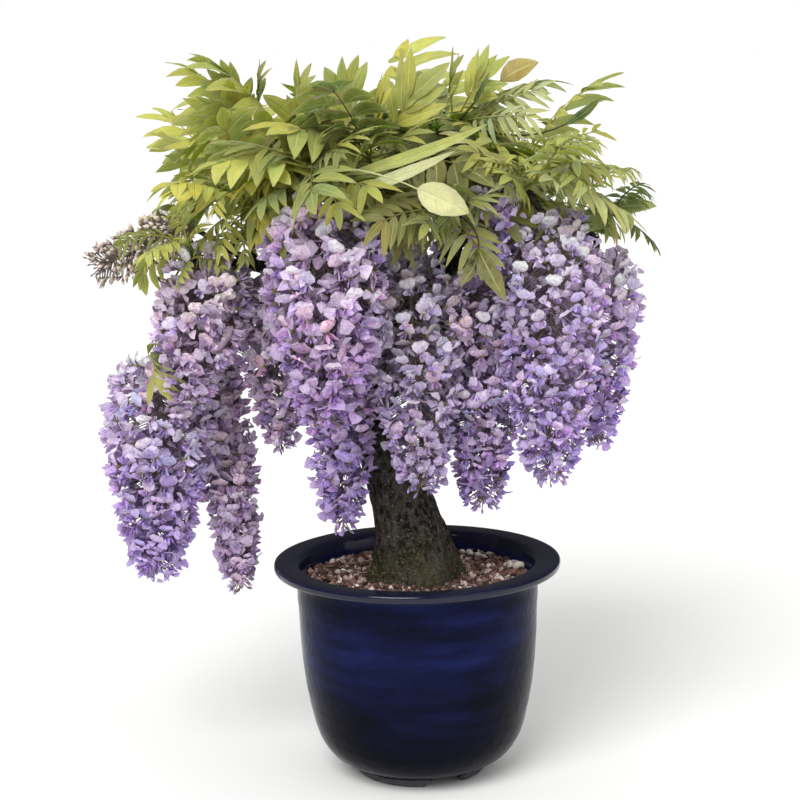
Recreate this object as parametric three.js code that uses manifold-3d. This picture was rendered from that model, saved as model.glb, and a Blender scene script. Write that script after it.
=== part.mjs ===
// Flowering wisteria grown as a small standard tree in a glazed pot.
//
// A short, tapering trunk stands in a deep round pot of bark mix. It forks into limbs, and each limb
// carries hanging racemes of lilac florets on short twigs, with leafy stems of pinnate leaves above them.
//
// Units are millimetres and +Z is up. The plant is laid out round the pot's own axis, and the finished
// group is then shifted so that its origin is the bottom centre of the whole object's bounding box.
import * as THREE from "three";
import { mergeVertices } from "three/addons/utils/BufferGeometryUtils.js";
import Module from "manifold-3d";

const wasm = await Module();
wasm.setup();

// ---------------------------------------------------------------------------------------------------
// Driving dimensions
// ---------------------------------------------------------------------------------------------------

const GAP = 0.3; // running clearance between pieces that meet
const ROUND_SIDES = 24; // segments round the pot and the soil

const POT = {
  height: 228,
  wall: 9,
  floorTop: 24,
  floorUnder: 11,
  floorRim: 12, // how far the flat floor ends inside the foot of the inner wall
  drainRadius: 12,
  foot: { outer: 69, inner: 53, height: 10, flare: 1 },
  // outer face of the wall, as [radius, height], from the rounded bottom up to the flange
  body: [
    [76, 12],
    [93, 22],
    [107, 43],
    [116, 78],
    [121.5, 115],
    [124.5, 160],
    [126, 206],
  ],
  bodySteps: 5,
  throat: 126, // radius where the flat flange turns down into the pot
  // the flange, as [outwards from the throat, up from the top of the pot], from under the lip to inside it
  flange: [
    [2, -13],
    [9, -9.5],
    [21, -9],
    [24, -4.5],
    [21, 0],
    [0, -1.5],
    [-6, -6],
  ],
  notch: { radius: 24, length: 50, drop: 11, sides: 16, azimuths: [-68, 52, 172] },
};

const SOIL = {
  top: 206,
  edge: 6, // height of the worn edge at the wall
  bevel: 2,
  relief: 2.4,
  lumps: { x: 0.31, y: 0.27, diagonal: 0.19, turn: [1.7, 0.6], share: 0.6 },
  calmRadius: 70, // inside it the mix lies level under the root flare
  calm: -0.8,
  rings: 3,
  holeRadius: 44,
  holeDepth: 40,
};

const TRUNK = {
  foot: 205,
  baseRadius: 47,
  tipRadius: 13,
  taperPower: 1.7,
  buttresses: 4,
  buttressDepth: 0.12,
  buttressTurn: 0.8,
  ridges: 3,
  ridgeDepth: 0.05,
  ridgeTwist: 9,
  sides: 12,
  steps: 10,
  stub: { sides: 18, overlap: 4 }, // the buried part of the trunk, in the soil's hole
};

// Woody limbs: the four control points of a cubic Bezier, with the radius at its root and its tip.
const LIMBS = {
  trunk: { points: [[0, 0, TRUNK.foot], [0, 0, 290], [-60, 0, 330], [-38, 0, 450]] },
  left: { points: [[-39, 0, 395], [-80, -5, 520], [-190, -25, 610], [-246, -6, 475]], radii: [11, 4.5] },
  frontLeft: { points: [[-38, 0, 430], [-45, -25, 520], [-62, -60, 600], [-76, -92, 622]], radii: [9, 4] },
  frontRight: { points: [[-38, 0, 440], [0, -25, 510], [55, -45, 585], [118, -52, 612]], radii: [9, 4] },
  right: { points: [[-38, 0, 445], [30, 10, 540], [120, 10, 600], [188, 0, 560]], radii: [9, 4] },
  back: { points: [[-38, 0, 440], [-40, 40, 540], [-10, 100, 620], [20, 150, 600]], radii: [9, 4] },
  backLeft: { points: [[-39, 0, 425], [-90, 30, 520], [-150, 90, 600], [-195, 110, 545]], radii: [9, 4] },
  top: { points: [[-38, 0, 445], [-38, 5, 520], [-20, 5, 600], [-15, 0, 650]], radii: [9, 4] },
};
const LIMB = { sides: 5, steps: 5 };
const TWIG = { radii: [4, 2.6], sides: 3 };

// Hanging racemes: the limb and the place on it, where the twig ends, where the raceme's tip hangs, and
// the radius over its florets at the widest. Kind sets the colour.
const RACEMES = {
  front_left: {
    limb: "frontLeft", at: 1, anchor: [-80, -116, 606], tip: [-84, -136, 396], radius: 64, kind: "pale",
  },
  front_left_low: {
    limb: "frontLeft", at: 0.45, anchor: [-60, -48, 512], tip: [-74, -62, 274], radius: 44, kind: "violet",
  },
  left_small: {
    limb: "left", at: 0.42, anchor: [-132, -32, 524], tip: [-138, -4, 346], radius: 40, kind: "violet",
  },
  centre: {
    limb: "frontRight", at: 0.35, anchor: [-2, -56, 540], tip: [6, -96, 320], radius: 54, kind: "violet",
  },
  centre_right: {
    limb: "frontRight", at: 0.62, anchor: [56, -52, 540], tip: [68, -52, 292], radius: 52, kind: "violet",
  },
  right_front: {
    limb: "frontRight", at: 1, anchor: [128, -72, 594], tip: [134, -92, 326], radius: 60, kind: "violet",
  },
  right: { limb: "right", at: 1, anchor: [190, -4, 550], tip: [188, -6, 346], radius: 48, kind: "violet" },
  front_small: {
    limb: "frontRight", at: 0.75, anchor: [72, -94, 622], tip: [77, -118, 546], radius: 28, kind: "violet",
  },
  left_upper: {
    limb: "left", at: 0.78, anchor: [-196, -40, 545], tip: [-222, -72, 410], radius: 54, kind: "violet",
  },
  left_low: {
    limb: "left", at: 1, anchor: [-252, -2, 452], tip: [-272, 2, 214], radius: 62, kind: "violet",
  },
  left_inner: {
    limb: "left", at: 0.85, anchor: [-242, 46, 500], tip: [-190, 36, 186], radius: 42, kind: "violet",
  },
  left_back: {
    limb: "backLeft", at: 1, anchor: [-204, 116, 530], tip: [-208, 118, 392], radius: 48, kind: "violet",
  },
  back_left: {
    limb: "backLeft", at: 0.55, anchor: [-112, 86, 556], tip: [-114, 96, 400], radius: 48, kind: "violet",
  },
  back_middle: {
    limb: "back", at: 0.8, anchor: [-18, 126, 586], tip: [-28, 150, 372], radius: 50, kind: "pale",
  },
  back_right: {
    limb: "back", at: 1, anchor: [44, 156, 585], tip: [74, 154, 350], radius: 50, kind: "violet",
  },
  right_back: {
    limb: "right", at: 0.7, anchor: [136, 52, 560], tip: [152, 76, 360], radius: 50, kind: "violet",
  },
  inner: { limb: "back", at: 0.35, anchor: [8, 56, 535], tip: [28, 62, 335], radius: 46, kind: "violet" },
  left_buds: {
    limb: "left", at: 0.62, anchor: [-214, -26, 578], tip: [-324, -28, 541], radius: 27, kind: "bud",
  },
};

const RACEME = {
  leaves: 0.14, // share of its length that the stalk runs on in the twig's direction
  hangs: 0.6, // share over which it hangs straight above its tip
  top: 0.6, // its width at the top, over the widest
  shoulder: 0.25, // share of its length where it is widest
  thinning: { amount: 0.65, power: 2.4 }, // how it narrows to its tip
  stalkRadius: 2.2,
  stalkShare: 0.1, // bare share of the raceme under the twig
  core: 0.56, // core radius over the radius of the raceme
  coreEnd: 0.4, // how the core's last ring closes
  coreSides: 5,
  coreRings: [0, 0.1, 0.25, 0.4, 0.6, 0.8, 1],
};

const PETAL = {
  density: 0.00092, // petals per square millimetre of length times radius
  fewest: 6,
  first: 0.09, // share of the raceme's length where they start
  last: 0.89,
  sides: 5,
  thickness: 2.6,
  sunk: 4, // how far a petal's root lies inside the core
  lean: { least: 44, spread: 16, atTip: 14 }, // degrees from straight out towards the tip
  twist: 44,
  length: { least: 0.92, spread: 0.12 },
  width: { share: 0.9, most: 52, least: 0.9, spread: 0.2 },
  cup: 0.12,
  fold: 0.05,
  widening: 0.5,
  goldenAngle: 137.508,
  guard: { length: 1.04, width: 1.15 },
};

// Leafy stems: the limb and the place on it, where the twig ends, and the leaves' look. The stem goes on
// in the twig's direction, and its leaves fan out from it by spread degrees.
const SHOOTS = {
  front: {
    limb: "frontRight", at: 0.6, anchor: [34, -104, 590], leaf: 116, spread: 40, kind: "small",
    leaves: [0, 1],
  },
  left: { limb: "left", at: 0.62, anchor: [-162, -52, 592], leaf: 116, spread: 46, kind: "broad" },
  left_low: {
    limb: "left", at: 0.8, anchor: [-216, -60, 558], leaf: 80, spread: 40, kind: "small",
    leaves: [1, 2],
  },
  left_back: { limb: "backLeft", at: 0.75, anchor: [-178, 94, 592], leaf: 140, spread: 46, kind: "broad" },
  top_left: { limb: "top", at: 0.5, anchor: [-94, -12, 622], leaf: 168, spread: 42, kind: "broad" },
  top_front: { limb: "top", at: 0.75, anchor: [-34, -46, 634], leaf: 156, spread: 60, kind: "broad" },
  top_right: { limb: "top", at: 1, anchor: [20, 4, 664], leaf: 140, spread: 70, kind: "small" },
  top_back: { limb: "top", at: 0.7, anchor: [-20, 56, 640], leaf: 156, spread: 62, kind: "broad" },
  right_upper: { limb: "right", at: 0.5, anchor: [102, 2, 610], leaf: 150, spread: 52, kind: "small" },
  right: { limb: "right", at: 0.9, anchor: [186, -30, 584], leaf: 78, spread: 48, kind: "small" },
  front_right: {
    limb: "frontRight", at: 0.85, anchor: [112, -94, 618], leaf: 132, spread: 50, kind: "small",
    leaves: [0, 2],
  },
  front_left: {
    limb: "frontLeft", at: 0.85, anchor: [-88, -110, 632], leaf: 128, spread: 44, kind: "broad",
    leaves: [0, 1],
  },
  right_back: {
    limb: "right", at: 0.75, anchor: [138, 86, 602], leaf: 140, spread: 50, kind: "small",
    leaves: [1, 2],
  },
  back: { limb: "back", at: 0.8, anchor: [10, 144, 624], leaf: 140, spread: 54, kind: "broad" },
  back_left: {
    limb: "backLeft", at: 0.5, anchor: [-100, 120, 612], leaf: 140, spread: 48, kind: "broad",
    leaves: [0, 1],
  },
  crown_left: { limb: "left", at: 0.3, anchor: [-150, 0, 650], leaf: 116, spread: 50, kind: "broad" },
};

const SHOOT = {
  stemLength: 30,
  stemRadii: [2.6, 1.9],
  stemSides: 4,
  leaves: [0, 1, 2],
  stations: [0.5, 0.75, 0.95], // where the leaves leave the stem
  fan: [1, -1, -0.1], // their turn away from the stem, in spreads
  lift: [-26, -8, 34],
  steepness: { share: 0.6, most: 50 }, // how far the leaves follow the stem's own elevation
  waver: { turn: 16, lift: 12 },
};
const LEAF_KINDS = {
  broad: { pairs: 4, leaflet: 0.36, width: 0.115, opening: [68, 46], sag: 36, keel: 1.1 },
  small: { pairs: 3, leaflet: 0.38, width: 0.14, opening: [62, 42], sag: 44, keel: 1.3 },
};
const LEAF = {
  firstPair: 0.24, // share of the leaf's length before its first pair
  lastPair: 0.66,
  endBulge: 0.13, // where the end leaflet is widest, after its root
  bulge: 0.42, // where the other leaflets are widest
  size: { least: 0.86, middle: 0.16 }, // leaflets are longest in the middle of the leaf
  waver: 8,
  rib: 1.5, // half width of the rib
  roll: 40,
  outward: 46, // degrees that a leaf lying across the pot's radius turns its face outwards
  thickness: 1,
  plain: { thickness: 1, width: 1 },
  guard: { thickness: 4, width: 1.12 },
};

// A leaf that would cross another piece is turned and lifted by the first of these that clears it.
const BEND = { rings: 5, turn: 13, lift: 11, directions: 8 };
const BENDS = Array.from({ length: BEND.rings * BEND.directions }, (_, i) => {
  const ring = Math.floor(i / BEND.directions);
  const angle = (2 * Math.PI * (i % BEND.directions)) / BEND.directions;
  return { turn: BEND.turn * ring * Math.cos(angle), lift: BEND.lift * ring * Math.sin(angle) };
});

const COLOURS = {
  glaze: { color: 0x0c1030, roughness: 0.16, metalness: 0 },
  soil: { color: 0x4a342c, roughness: 0.95, metalness: 0 },
  bark: { color: 0x37332c, roughness: 0.95, metalness: 0 },
  pale: { color: 0xb49bd0, roughness: 0.6, metalness: 0 },
  violet: { color: 0x8374b8, roughness: 0.6, metalness: 0 },
  bud: { color: 0x8f7a78, roughness: 0.7, metalness: 0 },
  broad: { color: 0x93a83c, roughness: 0.5, metalness: 0 },
  small: { color: 0x6f8a45, roughness: 0.55, metalness: 0 },
};

// ---------------------------------------------------------------------------------------------------
// Small tools
// ---------------------------------------------------------------------------------------------------

const FRAMES = 60; // frames worked out along every tube's curve
const MERGE = 1e-4; // points nearer than this are one point
const FIRST_SHOOT = 101;
const SEEDS = 1000; // seeds kept apart for each raceme and leafy stem
const UP = new THREE.Vector3(0, 0, 1);
const radians = THREE.MathUtils.degToRad;
const vector = (xyz) => new THREE.Vector3(...xyz);

// Seeded draws between 0 and 1 (the mulberry32 generator).
function seededDraws(seed) {
  let state = seed >>> 0;
  return () => {
    state = (state + 0x6d2b79f5) >>> 0;
    let t = Math.imul(state ^ (state >>> 15), 1 | state);
    t = (t + Math.imul(t ^ (t >>> 7), 61 | t)) ^ t;
    return ((t ^ (t >>> 14)) >>> 0) / 4294967296;
  };
}

// Unit vector from an azimuth round +Z and an elevation above the horizon, in degrees.
function heading(azimuth, elevation) {
  const a = radians(azimuth);
  const e = radians(elevation);
  return new THREE.Vector3(Math.cos(e) * Math.cos(a), Math.cos(e) * Math.sin(a), Math.sin(e));
}

// A closed geometry as a solid that can be joined and cut.
function solidOf(geometry) {
  const bare = geometry.clone();
  bare.deleteAttribute("normal");
  bare.deleteAttribute("uv");
  const merged = mergeVertices(bare, MERGE);
  const kept = [];
  for (let i = 0; i < merged.index.count; i += 3) {
    const [a, b, c] = [0, 1, 2].map((k) => merged.index.getX(i + k));
    if (a !== b && b !== c && c !== a) kept.push(a, b, c);
  }
  return new wasm.Manifold(
    new wasm.Mesh({
      numProp: 3,
      vertProperties: new Float32Array(merged.attributes.position.array),
      triVerts: new Uint32Array(kept),
    }),
  );
}

const fuse = (geometries) => geometries.map(solidOf).reduce((whole, next) => whole.add(next));

function meshOf(name, solid, colour) {
  const { vertProperties, triVerts } = solid.getMesh();
  const geometry = new THREE.BufferGeometry();
  geometry.setAttribute("position", new THREE.BufferAttribute(vertProperties, 3));
  geometry.setIndex(new THREE.BufferAttribute(triVerts, 1));
  const mesh = new THREE.Mesh(
    geometry,
    new THREE.MeshStandardMaterial({ ...COLOURS[colour], flatShading: true }),
  );
  mesh.name = name;
  return mesh;
}

// A solid of revolution round +Z from a profile of [radius, height] points.
function turned(profile, sides) {
  const points = profile.map(([radius, height]) => new THREE.Vector2(radius, height));
  return new THREE.LatheGeometry(points, sides).rotateX(Math.PI / 2);
}

// A closed tube along a curve, with a ring at each of the given shares of its length. radiusAt(share
// along, angle round) gives its radius.
function tube(curve, radiusAt, sides, rings) {
  const geometry = new THREE.CylinderGeometry(1, 1, 1, sides, rings.length - 1);
  const frames = curve.computeFrenetFrames(FRAMES);
  const position = geometry.attributes.position;
  for (let i = 0; i < position.count; i++) {
    const share = rings[Math.round((position.getY(i) + 0.5) * (rings.length - 1))];
    const frame = Math.round(share * FRAMES);
    const radius = radiusAt(share, Math.atan2(position.getZ(i), position.getX(i)));
    const place = curve
      .getPointAt(share)
      .addScaledVector(frames.normals[frame], position.getX(i) * radius)
      .addScaledVector(frames.binormals[frame], -position.getZ(i) * radius);
    position.setXYZ(i, place.x, place.y, place.z);
  }
  return geometry;
}

const evenly = (steps) => Array.from({ length: steps + 1 }, (_, i) => i / steps);
const between = ([first, last]) => (share) => first + (last - first) * share;

// A petal: a flat lens of few sides with a pointed root at the origin, running along +X and facing +Y.
// It is cupped along its length, folded along its middle and widest towards its tip.
function blade(length, width, thickness) {
  const geometry = new THREE.SphereGeometry(1, PETAL.sides, 2);
  const position = geometry.attributes.position;
  for (let i = 0; i < position.count; i++) {
    const along = (position.getX(i) + 1) / 2;
    const across = (position.getZ(i) * width) / 2;
    const lens = (position.getY(i) * thickness) / 2;
    position.setXYZ(
      i,
      along * length,
      lens + PETAL.cup * length * along * along - 2 * PETAL.fold * Math.abs(across),
      across * (1 + PETAL.widening * (along - 0.5)),
    );
  }
  return geometry;
}

// Turns a blade so that it runs along `along` and faces `facing`, with its root at `root`.
function laid(geometry, root, along, facing) {
  const u = along.clone().normalize();
  const v = new THREE.Vector3().crossVectors(u, facing).normalize();
  const n = new THREE.Vector3().crossVectors(v, u);
  return geometry.applyMatrix4(new THREE.Matrix4().makeBasis(u, n, v).setPosition(root));
}

// ---------------------------------------------------------------------------------------------------
// Pot and soil
// ---------------------------------------------------------------------------------------------------

// The wall's profile from the bottom up, moved inwards by an offset.
function wallProfile(offset) {
  const curve = new THREE.SplineCurve(POT.body.map(([x, y]) => new THREE.Vector2(x, y)));
  return Array.from({ length: POT.bodySteps + 1 }, (_, i) => {
    const share = i / POT.bodySteps;
    const point = curve.getPoint(share);
    const tangent = curve.getTangent(share);
    return [point.x - tangent.y * offset, point.y + tangent.x * offset];
  });
}

function makePot() {
  const inner = wallProfile(POT.wall)
    .filter(([, height]) => height > POT.floorTop)
    .reverse();
  const { foot, notch } = POT;
  const profile = [
    [POT.drainRadius, POT.floorUnder],
    [foot.inner, POT.floorUnder],
    [foot.inner, 0],
    [foot.outer, 0],
    [foot.outer + foot.flare, foot.height],
    ...wallProfile(0),
    ...POT.flange.map(([outwards, up]) => [POT.throat + outwards, POT.height + up]),
    ...inner,
    [inner.at(-1)[0] - POT.floorRim, POT.floorTop],
    [POT.drainRadius, POT.floorTop],
    [POT.drainRadius, POT.floorUnder],
  ];
  const notches = notch.azimuths.map((azimuth) =>
    new THREE.CylinderGeometry(notch.radius, notch.radius, notch.length, notch.sides)
      .rotateZ(Math.PI / 2)
      .translate(foot.outer, 0, -notch.drop)
      .rotateZ(radians(azimuth)),
  );
  return notches.reduce((pot, cut) => pot.subtract(solidOf(cut)), solidOf(turned(profile, ROUND_SIDES)));
}

// Height of the loose bark mix over its mean level.
function soilRelief(x, y) {
  const { lumps } = SOIL;
  const square = Math.sin(lumps.x * x + lumps.turn[0]) * Math.cos(lumps.y * y - lumps.turn[1]);
  const rough = square + lumps.share * Math.sin(lumps.diagonal * (x - y));
  return SOIL.relief * (Math.hypot(x, y) < SOIL.calmRadius ? SOIL.calm : rough);
}

function makeSoil() {
  const shoulder = SOIL.top - SOIL.edge;
  const wall = wallProfile(POT.wall + GAP).filter(([, z]) => z > POT.floorTop && z < shoulder);
  const edge = wall.at(-1)[0];
  const hole = (SOIL.holeRadius + GAP) / Math.cos(Math.PI / ROUND_SIDES);
  const rings = evenly(SOIL.rings).map((share) => [
    THREE.MathUtils.lerp(edge - SOIL.bevel, hole, share),
    SOIL.top,
  ]);
  const profile = [
    [0, POT.floorTop + GAP],
    [wall[0][0] - POT.floorRim, POT.floorTop + GAP],
    ...wall,
    [edge, shoulder],
    ...rings,
    [hole, SOIL.top - SOIL.holeDepth],
    [0, SOIL.top - SOIL.holeDepth],
  ];
  const geometry = turned(profile, ROUND_SIDES);
  const position = geometry.attributes.position;
  for (let i = 0; i < position.count; i++) {
    if (Math.abs(position.getZ(i) - SOIL.top) < MERGE)
      position.setZ(i, SOIL.top + soilRelief(position.getX(i), position.getY(i)));
  }
  return solidOf(geometry);
}

// ---------------------------------------------------------------------------------------------------
// Wood
// ---------------------------------------------------------------------------------------------------

const limbCurves = Object.fromEntries(
  Object.entries(LIMBS).map(([name, { points }]) => {
    const curve = new THREE.CubicBezierCurve3(...points.map(vector));
    return [name, curve];
  }),
);

function trunkRadius(share, angle) {
  const { baseRadius, tipRadius, taperPower } = TRUNK;
  const buttress = TRUNK.buttressDepth * Math.cos(TRUNK.buttresses * angle + TRUNK.buttressTurn);
  const ridge = TRUNK.ridgeDepth * Math.cos(TRUNK.ridges * angle + TRUNK.ridgeTwist * share);
  const taper = tipRadius + (baseRadius - tipRadius) * (1 - share) ** taperPower;
  return taper * (1 + buttress * (1 - share) ** 3 + ridge);
}

// Twigs run straight from the limb's middle to the anchor, so each ends in a flat face for what it carries.
function twig({ limb, at, anchor }) {
  const root = limbCurves[limb].getPointAt(at);
  return tube(new THREE.LineCurve3(root, vector(anchor)), between(TWIG.radii), TWIG.sides, evenly(1));
}

// The direction in which a twig ends.
function twigHeading({ limb, at, anchor }) {
  return vector(anchor).sub(limbCurves[limb].getPointAt(at)).normalize();
}

function makeWood() {
  const { stub } = TRUNK;
  const depth = SOIL.holeDepth - GAP;
  const length = depth + stub.overlap;
  const buried = new THREE.CylinderGeometry(SOIL.holeRadius, SOIL.holeRadius, length, stub.sides)
    .rotateX(Math.PI / 2)
    .translate(0, 0, SOIL.top - depth + length / 2);
  const trunk = tube(limbCurves.trunk, trunkRadius, TRUNK.sides, evenly(TRUNK.steps));
  const limbs = Object.entries(LIMBS)
    .filter(([name]) => name !== "trunk")
    .map(([name, { radii }]) => tube(limbCurves[name], between(radii), LIMB.sides, evenly(LIMB.steps)));
  const twigs = [...Object.values(RACEMES), ...Object.values(SHOOTS)].map(twig);
  return fuse([buried, trunk, ...limbs, ...twigs]);
}

// ---------------------------------------------------------------------------------------------------
// Racemes
// ---------------------------------------------------------------------------------------------------

// The stalk's centreline: it leaves in the twig's direction and then hangs to its tip.
function racemeCurve(raceme) {
  const out = twigHeading(raceme);
  const start = vector(raceme.anchor).addScaledVector(out, GAP);
  const tip = vector(raceme.tip);
  const length = start.distanceTo(tip);
  const back = raceme.kind === "bud" ? start.clone().sub(tip).normalize() : UP;
  return new THREE.CubicBezierCurve3(
    start,
    start.clone().addScaledVector(out, RACEME.leaves * length),
    tip.clone().addScaledVector(back, RACEME.hangs * length),
    tip,
  );
}

// Radius over the florets, as a share of the widest, from the top of the raceme (0) to its tip (1).
function racemeShape(share) {
  const widening = THREE.MathUtils.smoothstep(share, 0, RACEME.shoulder);
  const { amount, power } = RACEME.thinning;
  return THREE.MathUtils.lerp(RACEME.top, 1, widening) * (1 - amount * share ** power);
}

function coreRadius(raceme, share) {
  if (share <= RACEME.stalkShare) return RACEME.stalkRadius;
  const full = RACEME.core * raceme.radius * racemeShape(share);
  return Math.max(RACEME.stalkRadius, share < 1 ? full : RACEME.coreEnd * full);
}

// Distance from the stalk's axis to the middle of the core's flat sides, which run straight between rings.
function coreFlat(raceme, share) {
  const rings = RACEME.coreRings;
  const next = rings.findIndex((ring) => ring > share);
  const [above, below] = [rings[next - 1], rings[next]];
  const mix = (share - above) / (below - above);
  const radius = THREE.MathUtils.lerp(coreRadius(raceme, above), coreRadius(raceme, below), mix);
  return radius * Math.cos(Math.PI / RACEME.coreSides);
}

// One petal, which stands for a few florets: it leaves the core, reaches the raceme's outline and faces
// up and out, like a shingle.
function petal({ raceme, curve, share, turn, draw, guard = { length: 1, width: 1 } }) {
  const { lean, length, width } = PETAL;
  const place = curve.getPointAt(share);
  const down = curve.getTangentAt(share);
  const out = new THREE.Vector3(1, 0, 0).cross(down);
  if (raceme.kind === "bud") out.copy(UP).cross(down);
  out.normalize().applyAxisAngle(down, radians(turn)).negate();
  const angle = radians(lean.least + lean.spread * draw() + lean.atTip * share ** 2);
  const along = out.clone().multiplyScalar(Math.cos(angle)).addScaledVector(down, Math.sin(angle));
  const facing = out.clone().multiplyScalar(Math.sin(angle)).addScaledVector(down, -Math.cos(angle));
  facing.applyAxisAngle(along, radians(PETAL.twist * (draw() - 0.5)));
  const reach = raceme.radius * racemeShape(share);
  const root = Math.max(0, coreFlat(raceme, share) - PETAL.sunk);
  const span = ((reach - root) / Math.cos(angle)) * (length.least + length.spread * draw());
  const across = Math.min(span * width.share, width.most) * (width.least + width.spread * draw());
  const geometry = blade(span * guard.length, across * guard.width, PETAL.thickness * guard.width);
  return solidOf(laid(geometry, place.addScaledVector(out, root), along, facing));
}

function makeCore(raceme) {
  const radius = (share) => coreRadius(raceme, share);
  return solidOf(tube(racemeCurve(raceme), radius, RACEME.coreSides, RACEME.coreRings));
}

// A raceme: its core, and the petals round it that cross nothing else when slightly enlarged.
function makeRaceme(raceme, seed, isClear) {
  const curve = racemeCurve(raceme);
  const count = Math.max(PETAL.fewest, Math.round(PETAL.density * curve.getLength() * raceme.radius));
  const petals = Array.from({ length: count }, (_, i) => (guard) =>
    petal({
      raceme,
      curve,
      share: THREE.MathUtils.lerp(PETAL.first, PETAL.last, (i + 0.5) / count),
      turn: i * PETAL.goldenAngle,
      draw: seededDraws(seed * SEEDS + i),
      guard,
    }),
  );
  return petals
    .filter((make) => isClear(make(PETAL.guard)))
    .reduce((whole, make) => whole.add(make()), makeCore(raceme));
}

// ---------------------------------------------------------------------------------------------------
// Leafy stems
// ---------------------------------------------------------------------------------------------------

// A leaf's flat outline, with x as the share along its rib and y in millimetres across it. Its leaflets
// are cut to the rib: each has two bulges and a tip, and one more leaflet stands at the rib's end.
function leafOutline({ length, kind, draw, wide }) {
  const look = LEAF_KINDS[kind];
  const spacing = (LEAF.lastPair - LEAF.firstPair) / (look.pairs - 1);
  const width = look.width * length * wide;
  const point = (x, y) => new THREE.Vector2(x, y);
  const half = () => {
    const points = [point(0, LEAF.rib)];
    for (let pair = 0; pair < look.pairs; pair++) {
      const share = LEAF.firstPair + spacing * pair;
      const opening = THREE.MathUtils.lerp(...look.opening, pair / (look.pairs - 1));
      const angle = radians(opening + LEAF.waver * (draw() - 0.5));
      const middle = Math.sin((Math.PI * (pair + 0.5)) / look.pairs);
      const size = length * look.leaflet * (LEAF.size.least + LEAF.size.middle * middle);
      const at = (along, across) =>
        point(
          share + (along * Math.cos(angle) - across * Math.sin(angle)) / length,
          along * Math.sin(angle) + across * Math.cos(angle),
        );
      points.push(point(share - spacing / 2, LEAF.rib));
      points.push(at(LEAF.bulge * size, width / 2), at(size, 0), at(LEAF.bulge * size, -width / 2));
    }
    const end = LEAF.lastPair + spacing / 2;
    points.push(point(end, LEAF.rib), point(end + LEAF.endBulge, width / 2));
    return points;
  };
  const right = half();
  const left = half().map(({ x, y }) => point(x, -y));
  return new THREE.Shape([...left, point(1, 0), ...right.reverse()]);
}

// A pinnate leaf: its outline laid on an arching surface whose sides fall away from the rib.
function pinnateLeaf({ root, azimuth, elevation, length, kind, draw, guard = LEAF.plain }) {
  const { sag, keel } = LEAF_KINDS[kind];
  const start = heading(azimuth, elevation);
  const knee = root.clone().addScaledVector(start, 0.5 * length);
  const tip = knee.clone().addScaledVector(heading(azimuth, elevation - sag), 0.5 * length);
  const curve = new THREE.QuadraticBezierCurve3(root, knee, tip);
  const outwards = new THREE.Vector3(knee.x, knee.y, 0).normalize();
  const sideways = new THREE.Vector3().crossVectors(UP, start).normalize().dot(outwards);
  const roll = radians(LEAF.roll * (draw() - 0.5) - LEAF.outward * sideways);
  const outline = leafOutline({ length, kind, draw, wide: guard.width });
  const geometry = new THREE.ExtrudeGeometry(outline, { depth: 1, bevelEnabled: false });
  const position = geometry.attributes.position;
  for (let i = 0; i < position.count; i++) {
    const across = position.getY(i);
    const share = Math.min(position.getX(i), 1);
    const along = curve.getTangentAt(share);
    const side = new THREE.Vector3().crossVectors(UP, along).normalize().applyAxisAngle(along, roll);
    const face = new THREE.Vector3().crossVectors(along, side);
    const fall = (keel * across * across) / length;
    const place = curve
      .getPointAt(share)
      .addScaledVector(side, across)
      .addScaledVector(face, (position.getZ(i) - 0.5) * LEAF.thickness * guard.thickness - fall);
    position.setXYZ(i, place.x, place.y, place.z);
  }
  return solidOf(geometry);
}

// Azimuth and elevation of a direction, in degrees.
function anglesOf(direction) {
  return {
    azimuth: THREE.MathUtils.radToDeg(Math.atan2(direction.y, direction.x)),
    elevation: THREE.MathUtils.radToDeg(Math.asin(direction.z)),
  };
}

function stemCurve(shoot) {
  const out = twigHeading(shoot);
  const start = vector(shoot.anchor).addScaledVector(out, GAP);
  return new THREE.LineCurve3(start, start.clone().addScaledVector(out, SHOOT.stemLength));
}

function makeStem(shoot) {
  return solidOf(tube(stemCurve(shoot), between(SHOOT.stemRadii), SHOOT.stemSides, evenly(1)));
}

// A leafy stem: its leaves fan out from it, each with the first bend that keeps it clear.
function makeShoot(shoot, seed, isClear) {
  const { steepness, waver } = SHOOT;
  const curve = stemCurve(shoot);
  const { azimuth, elevation } = anglesOf(twigHeading(shoot));
  const steep = Math.min(steepness.most, steepness.share * elevation);
  return (shoot.leaves ?? SHOOT.leaves).reduce((whole, i) => {
    const draw = seededDraws(seed * SEEDS + i);
    const fanned = azimuth + SHOOT.fan[i] * shoot.spread + waver.turn * (draw() - 0.5);
    const lifted = steep + SHOOT.lift[i] + waver.lift * (draw() - 0.5);
    const leafWith = ({ turn, lift }, guard) =>
      pinnateLeaf({
        root: curve.getPointAt(SHOOT.stations[i]),
        azimuth: fanned + turn,
        elevation: lifted + lift,
        length: shoot.leaf,
        kind: shoot.kind,
        draw: seededDraws(seed * SEEDS + SHOOT.stations.length + i),
        guard,
      });
    return whole.add(leafWith(BENDS.find((bend) => isClear(leafWith(bend, LEAF.guard)))));
  }, makeStem(shoot));
}

// ---------------------------------------------------------------------------------------------------
// Assembly
// ---------------------------------------------------------------------------------------------------

const standing = new Map([
  ["pot", { solid: makePot(), colour: "glaze" }],
  ["soil", { solid: makeSoil(), colour: "soil" }],
  ["wisteria_wood", { solid: makeWood(), colour: "bark" }],
]);
// What the petals and leaves grow from, which stays where it is while they are bent clear of it.
const carriers = new Map([
  ...Object.entries(RACEMES).map(([key, raceme]) => [`raceme_${key}`, makeCore(raceme)]),
  ...Object.entries(SHOOTS).map(([key, shoot]) => [`shoot_${key}`, makeStem(shoot)]),
]);

// Whether a new solid crosses nothing that stands already, and no raceme's core or stem but its own.
const clearOf = (own) => (candidate) =>
  [...standing.values()].every(({ solid }) => candidate.intersect(solid).isEmpty()) &&
  [...carriers].every(([name, solid]) => name === own || candidate.intersect(solid).isEmpty());

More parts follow.
